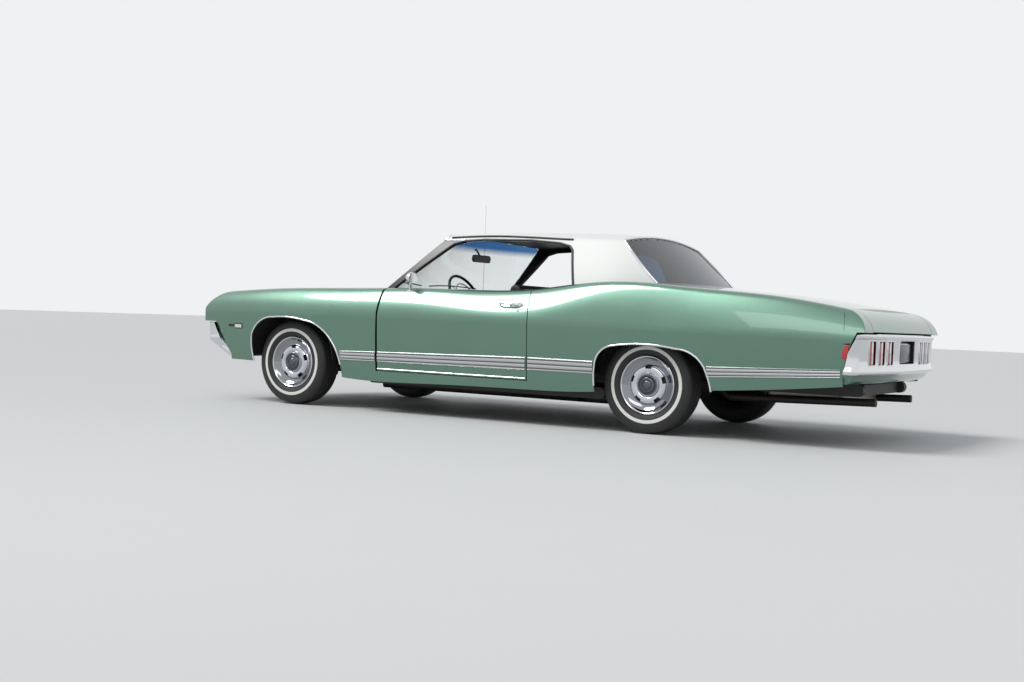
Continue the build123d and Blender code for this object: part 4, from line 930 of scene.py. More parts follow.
strip("fender_strip", 0.926, 1.252, ("body", "body"))
strip("door_strip", -0.355, 0.905, ("door_left", "door_right"))
strip("quarter_strip_front", -0.876, -0.376, ("body", "body"))
strip("quarter_strip_rear", -2.548, -1.688, ("body", "body"))
for name, arch, sill in (
    ("front_arch_moulding", FRONT_ARCH, 0.31), ("rear_arch_moulding", REAR_ARCH, 0.285)
):
    line = [(x, side_y(x, z) + 0.0005, z) for x, z in arch if z > sill]
    both_sides(name, line, 0.0065, CHROME, ("body", "body"))
door_low = [(x, side_y(x, 0.322) + 0.001, 0.322) for x in np.linspace(-0.352, 0.900, 30)]
both_sides("door_low_moulding", door_low, 0.005, CHROME, ("door_left", "door_right"))

# %% [markdown]
# A wheel is a set of spun outlines: tyre, cover and barrel. Faces between two radii on the
# outer side of the tyre become the white ring, and the cover's five slots are cut open.

# %% Tyres and wheel covers
def spun(outline, steps=100):
    """Turns an outline of (y, radius) points about the Y axis into a closed shape."""
    bm = bmesh.new()
    verts = [bm.verts.new((r, y, 0)) for y, r in outline]
    for a, b in zip(verts, verts[1:]):
        bm.edges.new((a, b))
    if outline[0] == outline[-1]:
        bmesh.ops.remove_doubles(bm, verts=bm.verts, dist=1e-6)
    bmesh.ops.spin(
        bm, geom=bm.verts[:] + bm.edges[:], axis=(0, 1, 0), cent=(0, 0, 0), dvec=(0, 0, 0),
        angle=2 * math.pi, steps=steps, use_merge=True
    )
    bmesh.ops.remove_doubles(bm, verts=bm.verts, dist=1e-5)
    bmesh.ops.recalc_face_normals(bm, faces=bm.faces)
    return bm

outer = [
    (0.081, 0.1965), (0.090, 0.205), (0.098, 0.222), (0.1015, 0.2345), (0.1030, 0.2355),
    (0.1038, 0.246), (0.1030, 0.2575), (0.1015, 0.2585), (0.1005, 0.275), (0.096, 0.296),
    (0.088, 0.312), (0.079, 0.3195)
]
tread = []
for y in (0.060, 0.030, 0.0, -0.030, -0.060):
    r = 0.3280 - 0.0085 * (abs(y) / 0.079) ** 2
    tread += [(y + 0.0045, r), (y + 0.0035, r - 0.007), (y - 0.0035, r - 0.007), (y - 0.0045, r)]
liner = [
    (-0.076, 0.1965), (-0.070, 0.212), (-0.084, 0.260), (-0.070, 0.300), (0, 0.312), (0.070, 0.300),
    (0.084, 0.260), (0.070, 0.212), (0.076, 0.1965)
]
tyre_line = outer + tread + [(-y, r) for y, r in outer[::-1]] + liner + [outer[0]]
cover_line = [
    (0.076, 0.1985), (0.090, 0.1975), (0.094, 0.192), (0.090, 0.185), (0.081, 0.179), (0.070, 0.163),
    (0.061, 0.147), (0.058, 0.137), (0.064, 0.131), (0.073, 0.1265), (0.0775, 0.119), (0.079, 0.108),
    (0.0792, 0.095), (0.077, 0.085), (0.071, 0.080), (0.068, 0.0775), (0.081, 0.0745), (0.087, 0.070),
    (0.0885, 0.062), (0.084, 0.058), (0.0835, 0.055), (0.090, 0.051), (0.094, 0.045), (0.0945, 0.038),
    (0.090, 0.035), (0.0895, 0.032), (0.095, 0.028), (0.0985, 0.018), (0.0993, 0.0)
]
barrel_line = [
    (0.074, 0.1982), (-0.088, 0.1962), (-0.093, 0.190), (-0.089, 0.178), (0.040, 0.172), (0.052, 0.155),
    (0.048, 0.0)
]
DISH = material(
    "dish_chrome", (0.30, 0.31, 0.33), metallic=1.0, rough=0.08, grain=300, bump=0.02, spread=0.06
)
CAP = material(
    "dark_cap_metal", (0.13, 0.14, 0.16), metallic=1.0, rough=0.22, grain=300, bump=0.03, spread=0.1
)
WELL = material(
    "wheel_well_steel", (0.03, 0.03, 0.032), metallic=0.6, rough=0.5, grain=300, bump=0.1, spread=0.2
)

FRONT_AXLE_X = 1.7911
REAR_AXLE_X = -1.2315
WHEEL_Y = 0.793
WHEEL_Z = 0.328
SLOT_STEP = 72
SLOT_HALF = 11.5
WHEELS = (
    ("front_left", FRONT_AXLE_X, 1),
    ("front_right", FRONT_AXLE_X, -1),
    ("rear_left", REAR_AXLE_X, 1),
    ("rear_right", REAR_AXLE_X, -1),
)
for corner, x, side in WHEELS:
    body = "wheel_" + corner
    cover = spun(cover_line)
    slots = []
    for f in cover.faces:
        c = f.calc_center_median()
        turn = (math.degrees(math.atan2(c.z, c.x)) + 18) % SLOT_STEP
        if 0.108 < math.hypot(c.x, c.z) < 0.131 and abs(turn - SLOT_STEP / 2) < SLOT_HALF:
            slots.append(f)
    bmesh.ops.delete(cover, geom=slots, context="FACES")
    lips = bmesh.ops.extrude_edge_only(
        cover,
        edges=[
            e for e in cover.edges
            if e.is_boundary and 0.1 < math.hypot(e.verts[0].co.x, e.verts[0].co.z) < 0.14
        ]
    )
    bmesh.ops.translate(
        cover, vec=(0, -0.016, 0), verts=[g for g in lips["geom"] if isinstance(g, bmesh.types.BMVert)]
    )
    for kind, bm, finish, slot, nodes in (
        ("tyre", spun(tyre_line), [RUBBER, WHITEWALL], "tyre", ["tyre_" + corner]),
        ("cover", cover, [COVER, DISH, CAP], "wheel_steel", ["wheel_" + corner]),
        ("barrel", spun(barrel_line), WELL, "wheel_steel", []),
    ):
        if kind == "cover":
            for f in bm.faces:
                radius = math.hypot(f.calc_center_median().x, f.calc_center_median().z)
                f.material_index = 1 if 0.137 < radius < 0.186 else 2 if radius < 0.066 else 0
        if kind == "tyre":
            for f in bm.faces:
                c = f.calc_center_median()
                f.material_index = 1 if c.y > 0.09 and 0.2350 < math.hypot(c.x, c.z) < 0.2580 else 0
        if side < 0:
            bmesh.ops.scale(bm, vec=(1, -1, 1), verts=bm.verts)
            bmesh.ops.reverse_faces(bm, faces=bm.faces)
        bmesh.ops.translate(bm, vec=(x, side * WHEEL_Y, WHEEL_Z), verts=bm.verts)
        shown(f"{kind}_{corner}_dressed", bm, finish, body, nodes, sharp=38)

# %% [markdown]
# Small solid pieces start as a flat outline that is extruded along one axis and then has its
# sharp edges rounded by a bevel. A few such shapes can be put together in one piece.

# %% Outlines, prisms and sheets that lie on the side
def rounded(u0, u1, v0, v1, r, count=5):
    """Outline of a rectangle with round corners."""
    line = []
    for cu, cv, start in (
        (u1 - r, v1 - r, 0), (u0 + r, v1 - r, 90), (u0 + r, v0 + r, 180), (u1 - r, v0 + r, 270)
    ):
        line += arc_side((cu, cv), r, start, start + 90, count)
    return line

def prism(outline, axis, low, high, edge=0.002, segments=2, finish=0):
    u, v = AXES[axis]
    w = 3 - u - v
    bm = bmesh.new()
    verts = []
    for a, b in outline:
        co = [0.0] * 3
        co[u], co[v], co[w] = a, b, low
        verts.append(bm.verts.new(co))
    face = bm.faces.new(verts)
    grown = bmesh.ops.extrude_face_region(bm, geom=[face])["geom"]
    move = [0.0] * 3
    move[w] = high - low
    bmesh.ops.translate(bm, vec=move, verts=[g for g in grown if isinstance(g, bmesh.types.BMVert)])
    bmesh.ops.recalc_face_normals(bm, faces=bm.faces)
    if edge:
        sharp = [e for e in bm.edges if len(e.link_faces) == 2 and e.calc_face_angle(0) > 0.6]
        bmesh.ops.bevel(
            bm, geom=sharp, offset=edge, offset_type="OFFSET", segments=segments, profile=0.5,
            affect="EDGES", clamp_overlap=True, material=-1
        )
    for f in bm.faces:
        f.material_index = finish
    return bm

def together(parts):
    bm = bmesh.new()
    for part in parts:
        mesh = bpy.data.meshes.new("part")
        part.to_mesh(mesh)
        part.free()
        bm.from_mesh(mesh)
        bpy.data.meshes.remove(mesh)
    return bm

def both_made(name, bm, finish, bodies, nodes=()):
    shown(name + "_right", other_side(bm), finish, bodies[1], [n + "_right" for n in nodes])
    shown(name + "_left", bm, finish, bodies[0], [n + "_left" for n in nodes])

def patch(x0, x1, z0, z1, lift, finish=0, cols=16, rows=6):
    """A thin sheet that follows the side of the body, as a closed wall."""
    table = np.array([
        [(x, side_y(x, z) + lift, z) for z in np.linspace(z0, z1, rows)]
        for x in np.linspace(x0, x1, cols)
    ])
    bm = faced_out(laid_grid(table))
    bmesh.ops.solidify(bm, geom=bm.faces[:], thickness=lift)
    bmesh.ops.recalc_face_normals(bm, faces=bm.faces)
    for f in bm.faces:
        f.material_index = finish
    return bm

def turned_to(bm, axis, place):
    """Turns a spun shape from the Y axis to another direction and puts it in place."""
    way = Vector((0, 1, 0)).rotation_difference(Vector(axis).normalized()).to_matrix()
    bmesh.ops.rotate(bm, cent=(0, 0, 0), matrix=way, verts=bm.verts)
    bmesh.ops.translate(bm, vec=place, verts=bm.verts)
    return bm

# %% [markdown]
# A bumper is one pressed section carried along its plan: straight on the side, round the
# corner and in a shallow bow across the car. The sheet is cut to the line of the body,
# its lamp openings are cut through, and Solidify gives it the thickness of steel.

# %% Bumper sheets
def plan_line(start, wrap, corner, tip, way):
    middle = (wrap[0] + way * 0.72 * abs(corner[0] - wrap[0]), corner[1] + 0.7 * (wrap[1] - corner[1]))
    side = [
        tuple(np.array(start) + (np.array(wrap) - start) * t)
        for t in np.linspace(0, 1, 8, endpoint=False)
    ]
    turn = round_arc(wrap, middle, corner, 22)
    full = round_arc(corner, (tip, 0), (corner[0], -corner[1]), 120)
    return side + turn + full[:61]

def carried(section, line, way, deep=0.05):
    """Table of the section's (outward, height) points along a plan line."""
    pts = np.array(line)
    pts = np.vstack([pts, (pts[-2][0], -pts[-2][1])])
    table = np.zeros((len(line), len(section), 3))
    for i in range(len(line)):
        t = pts[min(i + 1, len(pts) - 1)] - pts[max(i - 1, 0)]
        n = np.array((t[1], -t[0])) / np.hypot(*t)
        if n[0] * way + n[1] < 0:
            n = -n
        for j, (d, z) in enumerate(section):
            near, far = max(d, -deep), min(d + deep, 0)
            table[i, j] = (pts[i][0] + n[0] * near + way * far, pts[i][1] + n[1] * near, z)
    table[-1, :, 1] = 0
    return table

REAR_SECTION = [
    (-0.060, 0.7155), (-0.045, 0.7225), (-0.025, 0.7265), (-0.008, 0.7270), (-0.001, 0.7225),
    (0, 0.715), (0, 0.704), (-0.004, 0.696), (-0.011, 0.690), (-0.0125, 0.680), (-0.0135, 0.62),
    (-0.014, 0.56), (-0.013, 0.530), (-0.011, 0.508), (-0.004, 0.501), (0, 0.494), (0, 0.484),
    (-0.003, 0.474), (-0.012, 0.467), (-0.04, 0.4635), (-0.075, 0.463)
]
REAR_TIP_X = -2.7265
REAR_SIDE = [
    (-2.644, 0.716), (-2.700, 0.7285), (-2.760, 0.7285), (-2.760, 0.4625), (-2.566, 0.462),
    (-2.593, 0.605)
]
rear_plan = plan_line((-2.50, 0.957), (-2.586, 0.957), (-2.668, 0.885), REAR_TIP_X, -1)
LAMPS = (0.385, 0.545, 0.705)
bm = laid_grid(carried(REAR_SECTION, rear_plan, -1))
cut_outline(bm, "y", REAR_SIDE, True)
for y in LAMPS:
    cut_outline(bm, "x", rounded(y - 0.056, y + 0.056, 0.530, 0.682, 0.016), False)
cut_outline(
    bm, "x",
    [(-0.1, 0.535), (-0.1, 0.686), (0.172, 0.686), (0.185, 0.673), (0.185, 0.548), (0.172, 0.535)],
    False
)
rear_bar = walled(
    shown("rear_bumper_bar", whole_width(bm), CHROME, "body", ["rear_bumper"]), 0.004, 0.001
)
bm = laid_grid(carried(
    [
        (-0.030, 0.4635), (-0.042, 0.452), (-0.050, 0.436), (-0.066, 0.420), (-0.095, 0.408),
        (-0.150, 0.402)
    ],
    rear_plan, -1, 0.07
))
cut_outline(bm, "y", [(-2.80, 0.3), (-2.556, 0.3), (-2.556, 0.5), (-2.80, 0.5)], True)
walled(
    shown("rear_valance_panel", whole_width(bm), PAINT, "body", ["rear_valance"]), 0.003, 0.001
)

FRONT_SECTION = [
    (-0.09, 0.6115), (-0.02, 0.6115), (-0.006, 0.609), (0, 0.602), (0, 0.590), (-0.002, 0.56),
    (-0.006, 0.52), (-0.004, 0.492), (-0.004, 0.480), (-0.012, 0.462), (-0.035, 0.442), (-0.065, 0.424),
    (-0.10, 0.405), (-0.14, 0.386), (-0.18, 0.366), (-0.22, 0.345), (-0.235, 0.3385)
]
FRONT_SIDE = [
    (2.760, 0.6125), (2.546, 0.6125), (2.388, 0.364), (2.395, 0.338), (2.496, 0.3385), (2.760, 0.43)
]
front_plan = plan_line((2.20, 0.958), (2.480, 0.958), (2.655, 0.880), 2.7265, 1)
bm = laid_grid(carried(FRONT_SECTION, front_plan, 1))
cut_outline(bm, "y", FRONT_SIDE, True)
cut_outline(bm, "y", [(2.546, 0.613), (2.474, 0.477), (2.388, 0.363)], False)
front_bar = walled(
    shown("front_bumper_bar", whole_width(bm), CHROME, "body", ["front_bumper"]), 0.004, 0.001
)
print("bumper faces", len(rear_bar.data.polygons), len(front_bar.data.polygons))

# %% [markdown]
# The tail lamps stand in openings of the rear bumper: a crowned red lens in each, a bright
# rim round it and a thin fin down its middle. The plate in the centre is left blank.

# %% Tail lamps, plate recess and markers
def bar_x(y, back=0.0):
    return REAR_TIP_X + 0.0585 * (y / 0.885) ** 2 + back

lenses = []
for y in LAMPS:
    x = bar_x(y, 0.020)
    lenses.append(prism(
        rounded(y - 0.0535, y + 0.0535, 0.5325, 0.6795, 0.014), "x", x, x + 0.045, 0.010, 4
    ))
    for dy in (-0.034, -0.0115, 0.0115, 0.034):
        lenses.append(prism(
            rounded(y + dy - 0.0085, y + dy + 0.0085, 0.540, 0.672, 0.006), "x", x - 0.004, x + 0.006,
            0.003, 3
        ))
    lenses.append(prism(
        rounded(y - 0.003, y + 0.003, 0.532, 0.680, 0.002), "x", x - 0.011, x + 0.02, 0.001, 2, 1
    ))
both_made(
    "tail_lens", together(lenses), [RED_LENS, CHROME], ("body", "body"), ["tail_lamp"]
)
for i, y in enumerate(LAMPS):
    line = [
        (bar_x(a, 0.0125), a, b) for a, b in rounded(y - 0.057, y + 0.057, 0.529, 0.683, 0.016)[:-1]
    ]
    both_sides(f"lamp_rim_{i + 1}", line, 0.0038, CHROME, ("body", "body"), True)
tray = prism(rounded(-0.187, 0.187, 0.533, 0.688, 0.014), "x", -2.711, -2.664, 0)
bmesh.ops.delete(tray, geom=[f for f in tray.faces if f.normal.x < -0.9], context="FACES_ONLY")
walled(shown("plate_recess", tray, BLACK_PLASTIC, "body"), 0.002, 0.0005)
PLATE = material(
    "blank_plate", (0.05, 0.055, 0.06), rough=0.32, grain=900, bump=0.05, spread=0.05, coat=0.6
)
blank = prism(rounded(-0.152, 0.152, 0.545, 0.665, 0.010), "x", -2.692, -2.6895, 0.0008)
frame_bar = prism(rounded(-0.156, 0.156, 0.541, 0.669, 0.012), "x", -2.6890, -2.664, 0.001, 2, 1)
shown("blank_plate", together([blank, frame_bar]), [PLATE, CHROME], "body")
marker = [prism(
    [(-2.567, 0.652), (-2.602, 0.654), (-2.584, 0.560), (-2.550, 0.572)], "y", 0.9,
    side_y(-2.575, 0.61) + 0.004, 0.003, 3
)]
marker.append(prism(
    [(-2.564, 0.662), (-2.606, 0.664), (-2.603, 0.6545), (-2.566, 0.6525)], "y", 0.9,
    side_y(-2.575, 0.61) + 0.005, 0.002, 2, 1
))
both_made(
    "rear_marker_lens", together(marker), [RED_LENS, DARK_TRIM], ("body", "body"),
    ["rear_marker"]
)
lamp_bits = [
    patch(2.247, 2.330, 0.567, 0.607, 0.003, 1), patch(2.253, 2.324, 0.574, 0.600, 0.006),
    patch(2.330, 2.394, 0.581, 0.599, 0.004, 1)
]
both_made(
    "front_marker_lens", together(lamp_bits), [PALE_LENS, DARK_TRIM], ("body", "body"),
    ["front_marker"]
)

# %% [markdown]
# Headlamps are spun: a fluted glass dome in a bright ring. The grille between them is a dark
# panel behind thin bars, with a bright frame round the whole opening.

# %% Headlamps and grille
HEAD_GLASS = material(
    "headlamp_glass", (0.60, 0.63, 0.66), metallic=0.35, rough=0.08, grain=90, bump=0.5, depth=0.001,
    stretch=(1, 3, 0.1), coat=1.0
)
for y in (0.560, 0.745):
    glass = spun([(-0.012, 0.0725), (0.0, 0.072), (0.007, 0.060), (0.012, 0.036), (0.0135, 0.0)], 64)
    ring = spun(
        [
            (-0.014, 0.072), (0.004, 0.0722), (0.009, 0.076), (0.009, 0.082), (0.002, 0.090),
            (-0.012, 0.092), (-0.014, 0.072)
        ],
        64
    )
    for f in ring.faces:
        f.material_index = 1
    lamp_pair = together([glass, ring])
    turned_to(lamp_pair, (1, 0, 0), (2.624, y, 0.711))
    both_made(
        f"headlamp_{int(y * 1000)}", lamp_pair, [HEAD_GLASS, CHROME], ("body", "body"),
        ["headlamp"] if y < 0.6 else []
    )
bars = []
for z in np.linspace(0.640, 0.782, 8):
    bars.append(prism(
        [(2.609, z - 0.002), (2.622, z - 0.0014), (2.6235, z), (2.622, z + 0.0014), (2.609, z + 0.002)],
        "y", -0.452, 0.452, 0.0004
    ))
for y in np.linspace(-0.42, 0.42, 15):
    bars.append(prism(
        [(2.609, y - 0.0012), (2.6185, y - 0.001), (2.6185, y + 0.001), (2.609, y + 0.0012)], "z",
        0.628, 0.794, 0
    ))
for y in (-0.462, 0.462):
    bars.append(prism(rounded(2.606, 2.628, y - 0.007, y + 0.007, 0.005), "z", 0.628, 0.794, 0.002))
shown("grille_bars", together(bars), SATIN, "body")
surround = [(2.612, a, b) for a, b in rounded(-0.866, 0.866, 0.626, 0.797, 0.03, 8)[:-1]]
tube("grille_surround", surround, 0.006, CHROME, "body", True)

# %% [markdown]
# Handles, mirror, wipers and the seam of the quarter's end are small, but they sit where the
# eye looks. Their places come from the side surface, so that nothing floats over it.

# %% Handles, mirror, wipers and seam
plate = patch(-0.300, -0.112, 0.816, 0.842, 0.003)
grip_y = side_y(-0.2, 0.829)
grip = [
    (-0.118, grip_y + 0.002, 0.829), (-0.124, grip_y + 0.018, 0.831), (-0.145, grip_y + 0.027, 0.832),
    (-0.200, grip_y + 0.030, 0.833), (-0.250, grip_y + 0.028, 0.832), (-0.272, grip_y + 0.020, 0.830),
    (-0.280, grip_y + 0.004, 0.829)
]
both_sides("door_grip", grip, 0.0075, CHROME, ("door_left", "door_right"))
button = turned_to(
    spun([(0, 0.0155), (0.018, 0.0150), (0.021, 0.012), (0.022, 0.0)], 32), (0, 1, 0.3),
    (-0.284, grip_y - 0.004, 0.829)
)
lock = turned_to(
    spun([(-0.004, 0.011), (0.003, 0.0105), (0.005, 0.008), (0.004, 0.004), (0.004, 0.0)], 32),
    (0, 1, 0.15), (-0.276, side_y(-0.276, 0.788), 0.788)
)
both_made(
    "door_handle_plate", together([plate, button, lock]), CHROME, ("door_left", "door_right"),
    ["door_handle"]
)
MIRROR_Z = 0.998
MIRROR_SQUASH = 0.71
head = turned_to(
    spun(
        [
            (0.0, 0.0), (0.0, 0.054), (-0.003, 0.0575), (0.0, 0.0612), (0.008, 0.062), (0.022, 0.057),
            (0.038, 0.043), (0.050, 0.024), (0.055, 0.0)
        ],
        64
    ),
    (1, 0, 0), (0.6435, 0.940, MIRROR_Z)
)
for v in head.verts:
    v.co.z = MIRROR_Z + (v.co.z - MIRROR_Z) * MIRROR_SQUASH
foot = turned_to(
    spun([(0.0, 0.027), (0.006, 0.0265), (0.011, 0.020), (0.013, 0.010), (0.0135, 0.0)], 40),
    (0, 0.25, 1), (0.690, 0.905, 0.903)
)
shown("door_mirror_head", together([head, foot]), CHROME, "door_left", ["door_mirror"])
tube(
    "door_mirror_stem",
    [(0.690, 0.906, 0.906), (0.688, 0.914, 0.930), (0.680, 0.926, 0.952), (0.668, 0.936, 0.975)],
    0.0075, CHROME, "door_left"
)
for side, y0, y1 in (("left", 0.640, 0.100), ("right", -0.020, -0.560)):
    arc = [
        (
            1.121 - 0.170 * (y / 0.7) ** 2 + 0.030, y,
            0.968 + 0.012 * math.sin(math.pi * (y - y1) / (y0 - y1))
        )
        for y in np.linspace(y0, y1, 20)
    ]
    tube(f"wiper_blade_{side}", arc, 0.005, DARK_TRIM, "body")
    tube(
        f"wiper_arm_{side}",
        [
            (arc[10][0] + 0.004, arc[10][1], arc[10][2] + 0.004), (1.170, (y0 + y1) / 2 - 0.14, 0.966),
            (1.186, (y0 + y1) / 2 - 0.20, 0.955)
        ],
        0.004, SATIN, "body"
    )
seam = [(-2.545 - 0.014 * (1 - t), 0.740 + 0.115 * t) for t in np.linspace(0, 1, 16)]
seam = [(x, side_y(x, z) + 0.0004, z) for x, z in seam]
both_sides("quarter_seam", seam, 0.0014, DARK_TRIM, ("body", "body"))

# %% [markdown]
# Behind the skin a car has dark inner panels. The front wheelhouses are bent sheets round the
# tyres, and the door pillars with their hinge straps carry the doors.

# %% Wheelhouses, door pillars and inner trim
def house_table(x, y_in, y_out, radius, z, low=5, high=175):
    path = [
        (radius - 0.11, y_in), (radius - 0.02, y_in), (radius - 0.005, y_in + 0.006),
        (radius, y_in + 0.022), (radius, (y_in + y_out) / 2), (radius, y_out)
    ]
    return np.array([
        [(x + r * math.cos(math.radians(a)), y, z + r * math.sin(math.radians(a))) for r, y in path]
        for a in np.linspace(low, high, 40)
    ])

bm = laid_grid(house_table(FRONT_AXLE_X, 0.512, 0.935, 0.43, WHEEL_Z))
for side, half in (("right", other_side(bm)), ("left", bm)):
    walled(shown(f"front_wheelhouse_{side}", half, CHASSIS, "body"), 0.003, 0.0005)
post = prism(rounded(0.914, 0.972, 0.742, 0.870, 0.012), "z", 0.307, 0.866, 0.003)
straps = [
    prism(
        [
            (0.8435, 0.9635), (0.8565, 0.9565), (0.912, 0.858), (0.922, 0.848), (0.914, 0.838),
            (0.902, 0.846), (0.897, 0.862)
        ],
        "z", z, z + 0.060, 0.002
    )
    for z in (0.430, 0.740)
]
both_made("door_pillar", together([post] + straps), PAINT, ("body", "body"))
rows = []
for x in np.linspace(-0.374, -1.02, 26):
    ty, tz = section_row(x)[4:6]
    line = [
        (0.752, 0.32), (0.752, 0.50), (0.752, 0.70), (0.752, 0.84), (0.757, 0.885), (0.772, tz - 0.045),
        (0.800, tz - 0.022), (ty - 0.012, tz - 0.012)
    ]
    rows.append([(x, y, z) for y, z in line])
bm = faced_out(laid_grid(np.array(rows)))
bmesh.ops.reverse_faces(bm, faces=bm.faces)
for side, half in (("right", other_side(bm)), ("left", bm)):
    walled(shown(f"quarter_trim_{side}", half, BLACK_VINYL, "body"), 0.006, 0.001)
door_parts = [prism(
    [(-0.335, 0.345), (-0.335, 0.70), (-0.275, 0.885), (0.84, 0.875), (0.86, 0.70), (0.86, 0.345)], "y",
    0.872, 0.8875, 0.004
)]
door_parts.append(prism(rounded(-0.12, 0.46, 0.600, 0.655, 0.02), "y", 0.828, 0.874, 0.012, 3))
for z in (0.44, 0.76):
    door_parts.append(prism(rounded(-0.30, 0.83, z, z + 0.012, 0.005), "y", 0.869, 0.875, 0.002, 2, 1))
door_parts.append(turned_to(
    spun([(-0.003, 0.022), (0.010, 0.020), (0.014, 0.012), (0.015, 0.0)], 32), (0, -1, 0),
    (0.30, 0.872, 0.53)
))
both_made(
    "door_trim", together(door_parts), [BLACK_VINYL, CHROME], ("door_left", "door_right")
)

# %% [markdown]
# The dashboard is a soft black pad with a bright instrument panel ahead of the driver. The
# steering wheel is built flat, with its rim round the Y axis, and then turned to its column.

# %% Dashboard and steering wheel
pad = prism(
    [
        (1.100, 0.850), (1.100, 0.640), (0.830, 0.640), (0.792, 0.690), (0.772, 0.820), (0.780, 0.870),
        (0.800, 0.900), (0.838, 0.915), (0.856, 0.915), (0.860, 0.852)
    ],
    "y", -0.7395, 0.7395, 0.008, 3
)
dash_bits = [
    pad, prism(rounded(0.150, 0.625, 0.752, 0.822, 0.010), "x", 0.7690, 0.800, 0.002, 2, 1),
    prism(rounded(-0.62, -0.15, 0.760, 0.815, 0.010), "x", 0.7700, 0.800, 0.002, 2, 1)
]
for y in (0.29, 0.48):
    dash_bits.append(turned_to(
        spun([(0.0, 0.036), (0.006, 0.034), (0.007, 0.031), (0.001, 0.029), (0.0, 0.0)], 48),
        (-1, 0, 0), (0.7690, y, 0.788)
    ))
for y in (-0.10, -0.03, 0.04):
    dash_bits.append(turned_to(
        spun([(-0.004, 0.012), (0.012, 0.011), (0.014, 0.008), (0.0145, 0.0)], 24), (-1, 0, 0),
        (0.776, y, 0.788)
    ))
shown(
    "dashboard_pad", together(dash_bits), [BLACK_PLASTIC, SATIN], "body", ["dashboard"]
)

axis = Vector((-math.cos(math.radians(30)), 0, math.sin(math.radians(30))))
centre = Vector((0.525, 0.385, 0.880))
def ring_outline(radius, thick, offset, count=14):
    return [
        (
            offset + thick * math.sin(2 * math.pi * i / count),
            radius + thick * math.cos(2 * math.pi * i / count)
        )
        for i in range(count)
    ] + [(offset, radius + thick)]

rim = spun(ring_outline(0.1885, 0.0108, -0.0110), 96)
horn = spun(ring_outline(0.118, 0.0045, -0.004, 10), 72)
hub = spun([(-0.018, 0.040), (-0.004, 0.041), (0.001, 0.036), (0.003, 0.024), (0.0035, 0.0)], 48)
spokes = [
    prism(
        [(s * 0.030, -0.014), (s * 0.185, -0.011), (s * 0.185, 0.011), (s * 0.030, 0.014)], "y", -0.014,
        -0.005, 0.002
    )
    for s in (1, -1)
]
for f in horn.faces:
    f.material_index = 1
steering = together([rim, horn, hub] + spokes)
across, up = Vector((0, 1, 0)), Vector((0.5, 0, 0.8660254))
for v in steering.verts:
    v.co = centre + axis * v.co.y + across * v.co.x + up * v.co.z
bmesh.ops.recalc_face_normals(steering, faces=steering.faces)
shown(
    "steering_wheel_rim", steering, [BLACK_PLASTIC, CHROME], "steering_wheel",
    ["steering_wheel"]
)

# %% [markdown]
# The benches are stuffed vinyl cushions. Each starts as a slightly small closed form, is made
# an even skin with a voxel remesh, and is blown up a little by a cloth simulation without
# gravity. The movement is capped, so that the seat stays in its place, and the sewn channels
# are pressed in afterwards, because a remesh would lose them.

# %% Padded benches
CHANNEL_DEPTH = 0.006
CHANNEL_HALF = 0.008
CLOTH_FRAMES = 20

def evaluated_mesh(obj):
    bpy.context.view_layer.update()
    return bpy.data.meshes.new_from_object(obj.evaluated_get(bpy.context.evaluated_depsgraph_get()))

def cushion(name, outline, half, nodes, channel, low_x, high_x, y_from=None, cap=0.014):
    bm = prism(outline, "y", -half if y_from is None else y_from, half, 0.022, 3)
    obj = shown(name, bm, BLACK_VINYL, "body", nodes, sharp=180)
    remesh = obj.modifiers.new("even_skin", "REMESH")
    remesh.mode = "VOXEL"
    remesh.voxel_size = 0.014
    remesh.use_smooth_shade = True
    skin = evaluated_mesh(obj)
    obj.modifiers.clear()
    obj.data = skin
    start = np.array([v.co for v in skin.vertices])
    cloth = obj.modifiers.new("cloth", "CLOTH")
    cloth.settings.quality = 4
    cloth.settings.mass = 0.3
    cloth.settings.tension_stiffness = 12
    cloth.settings.compression_stiffness = 12
    cloth.settings.use_pressure = True
    cloth.settings.uniform_pressure_force = 4
    cloth.settings.effector_weights.gravity = 0
    cloth.point_cache.frame_start = 1
    cloth.point_cache.frame_end = CLOTH_FRAMES
    for f in range(1, CLOTH_FRAMES + 1):
        bpy.context.scene.frame_set(f)
    blown = np.array([v.co for v in evaluated_mesh(obj).vertices])
    obj.modifiers.clear()
    bpy.context.scene.frame_set(1)
    move = blown - start
    far = np.linalg.norm(move, axis=1, keepdims=True)
    start = start + move * np.minimum(1, cap / np.maximum(far, 1e-9))
    bm = bmesh.new()
    bm.from_mesh(skin)
    for v, co in zip(bm.verts, start):
        v.co = co
    bmesh.ops.subdivide_edges(bm, edges=bm.edges, cuts=1, use_grid_fill=True)
    bmesh.ops.smooth_vert(
        bm, verts=bm.verts, factor=0.5, use_axis_x=True, use_axis_y=True, use_axis_z=True
    )
    bm.normal_update()
    for v in bm.verts:
        x, y = v.co.x, v.co.y
        if low_x < x < high_x and abs(y) < half - 0.10 and (v.normal.z > 0.25 or v.normal.x > 0.4):
            near = abs((y + channel / 2) % channel - channel / 2)
            v.co -= v.normal * CHANNEL_DEPTH * math.exp(-(near / CHANNEL_HALF) ** 2)
    for f in bm.faces:
        f.smooth = True
    bm.to_mesh(skin)
    bm.free()
    if not skin.materials:
        skin.materials.append(BLACK_VINYL)
    print(name, len(skin.polygons), "faces")

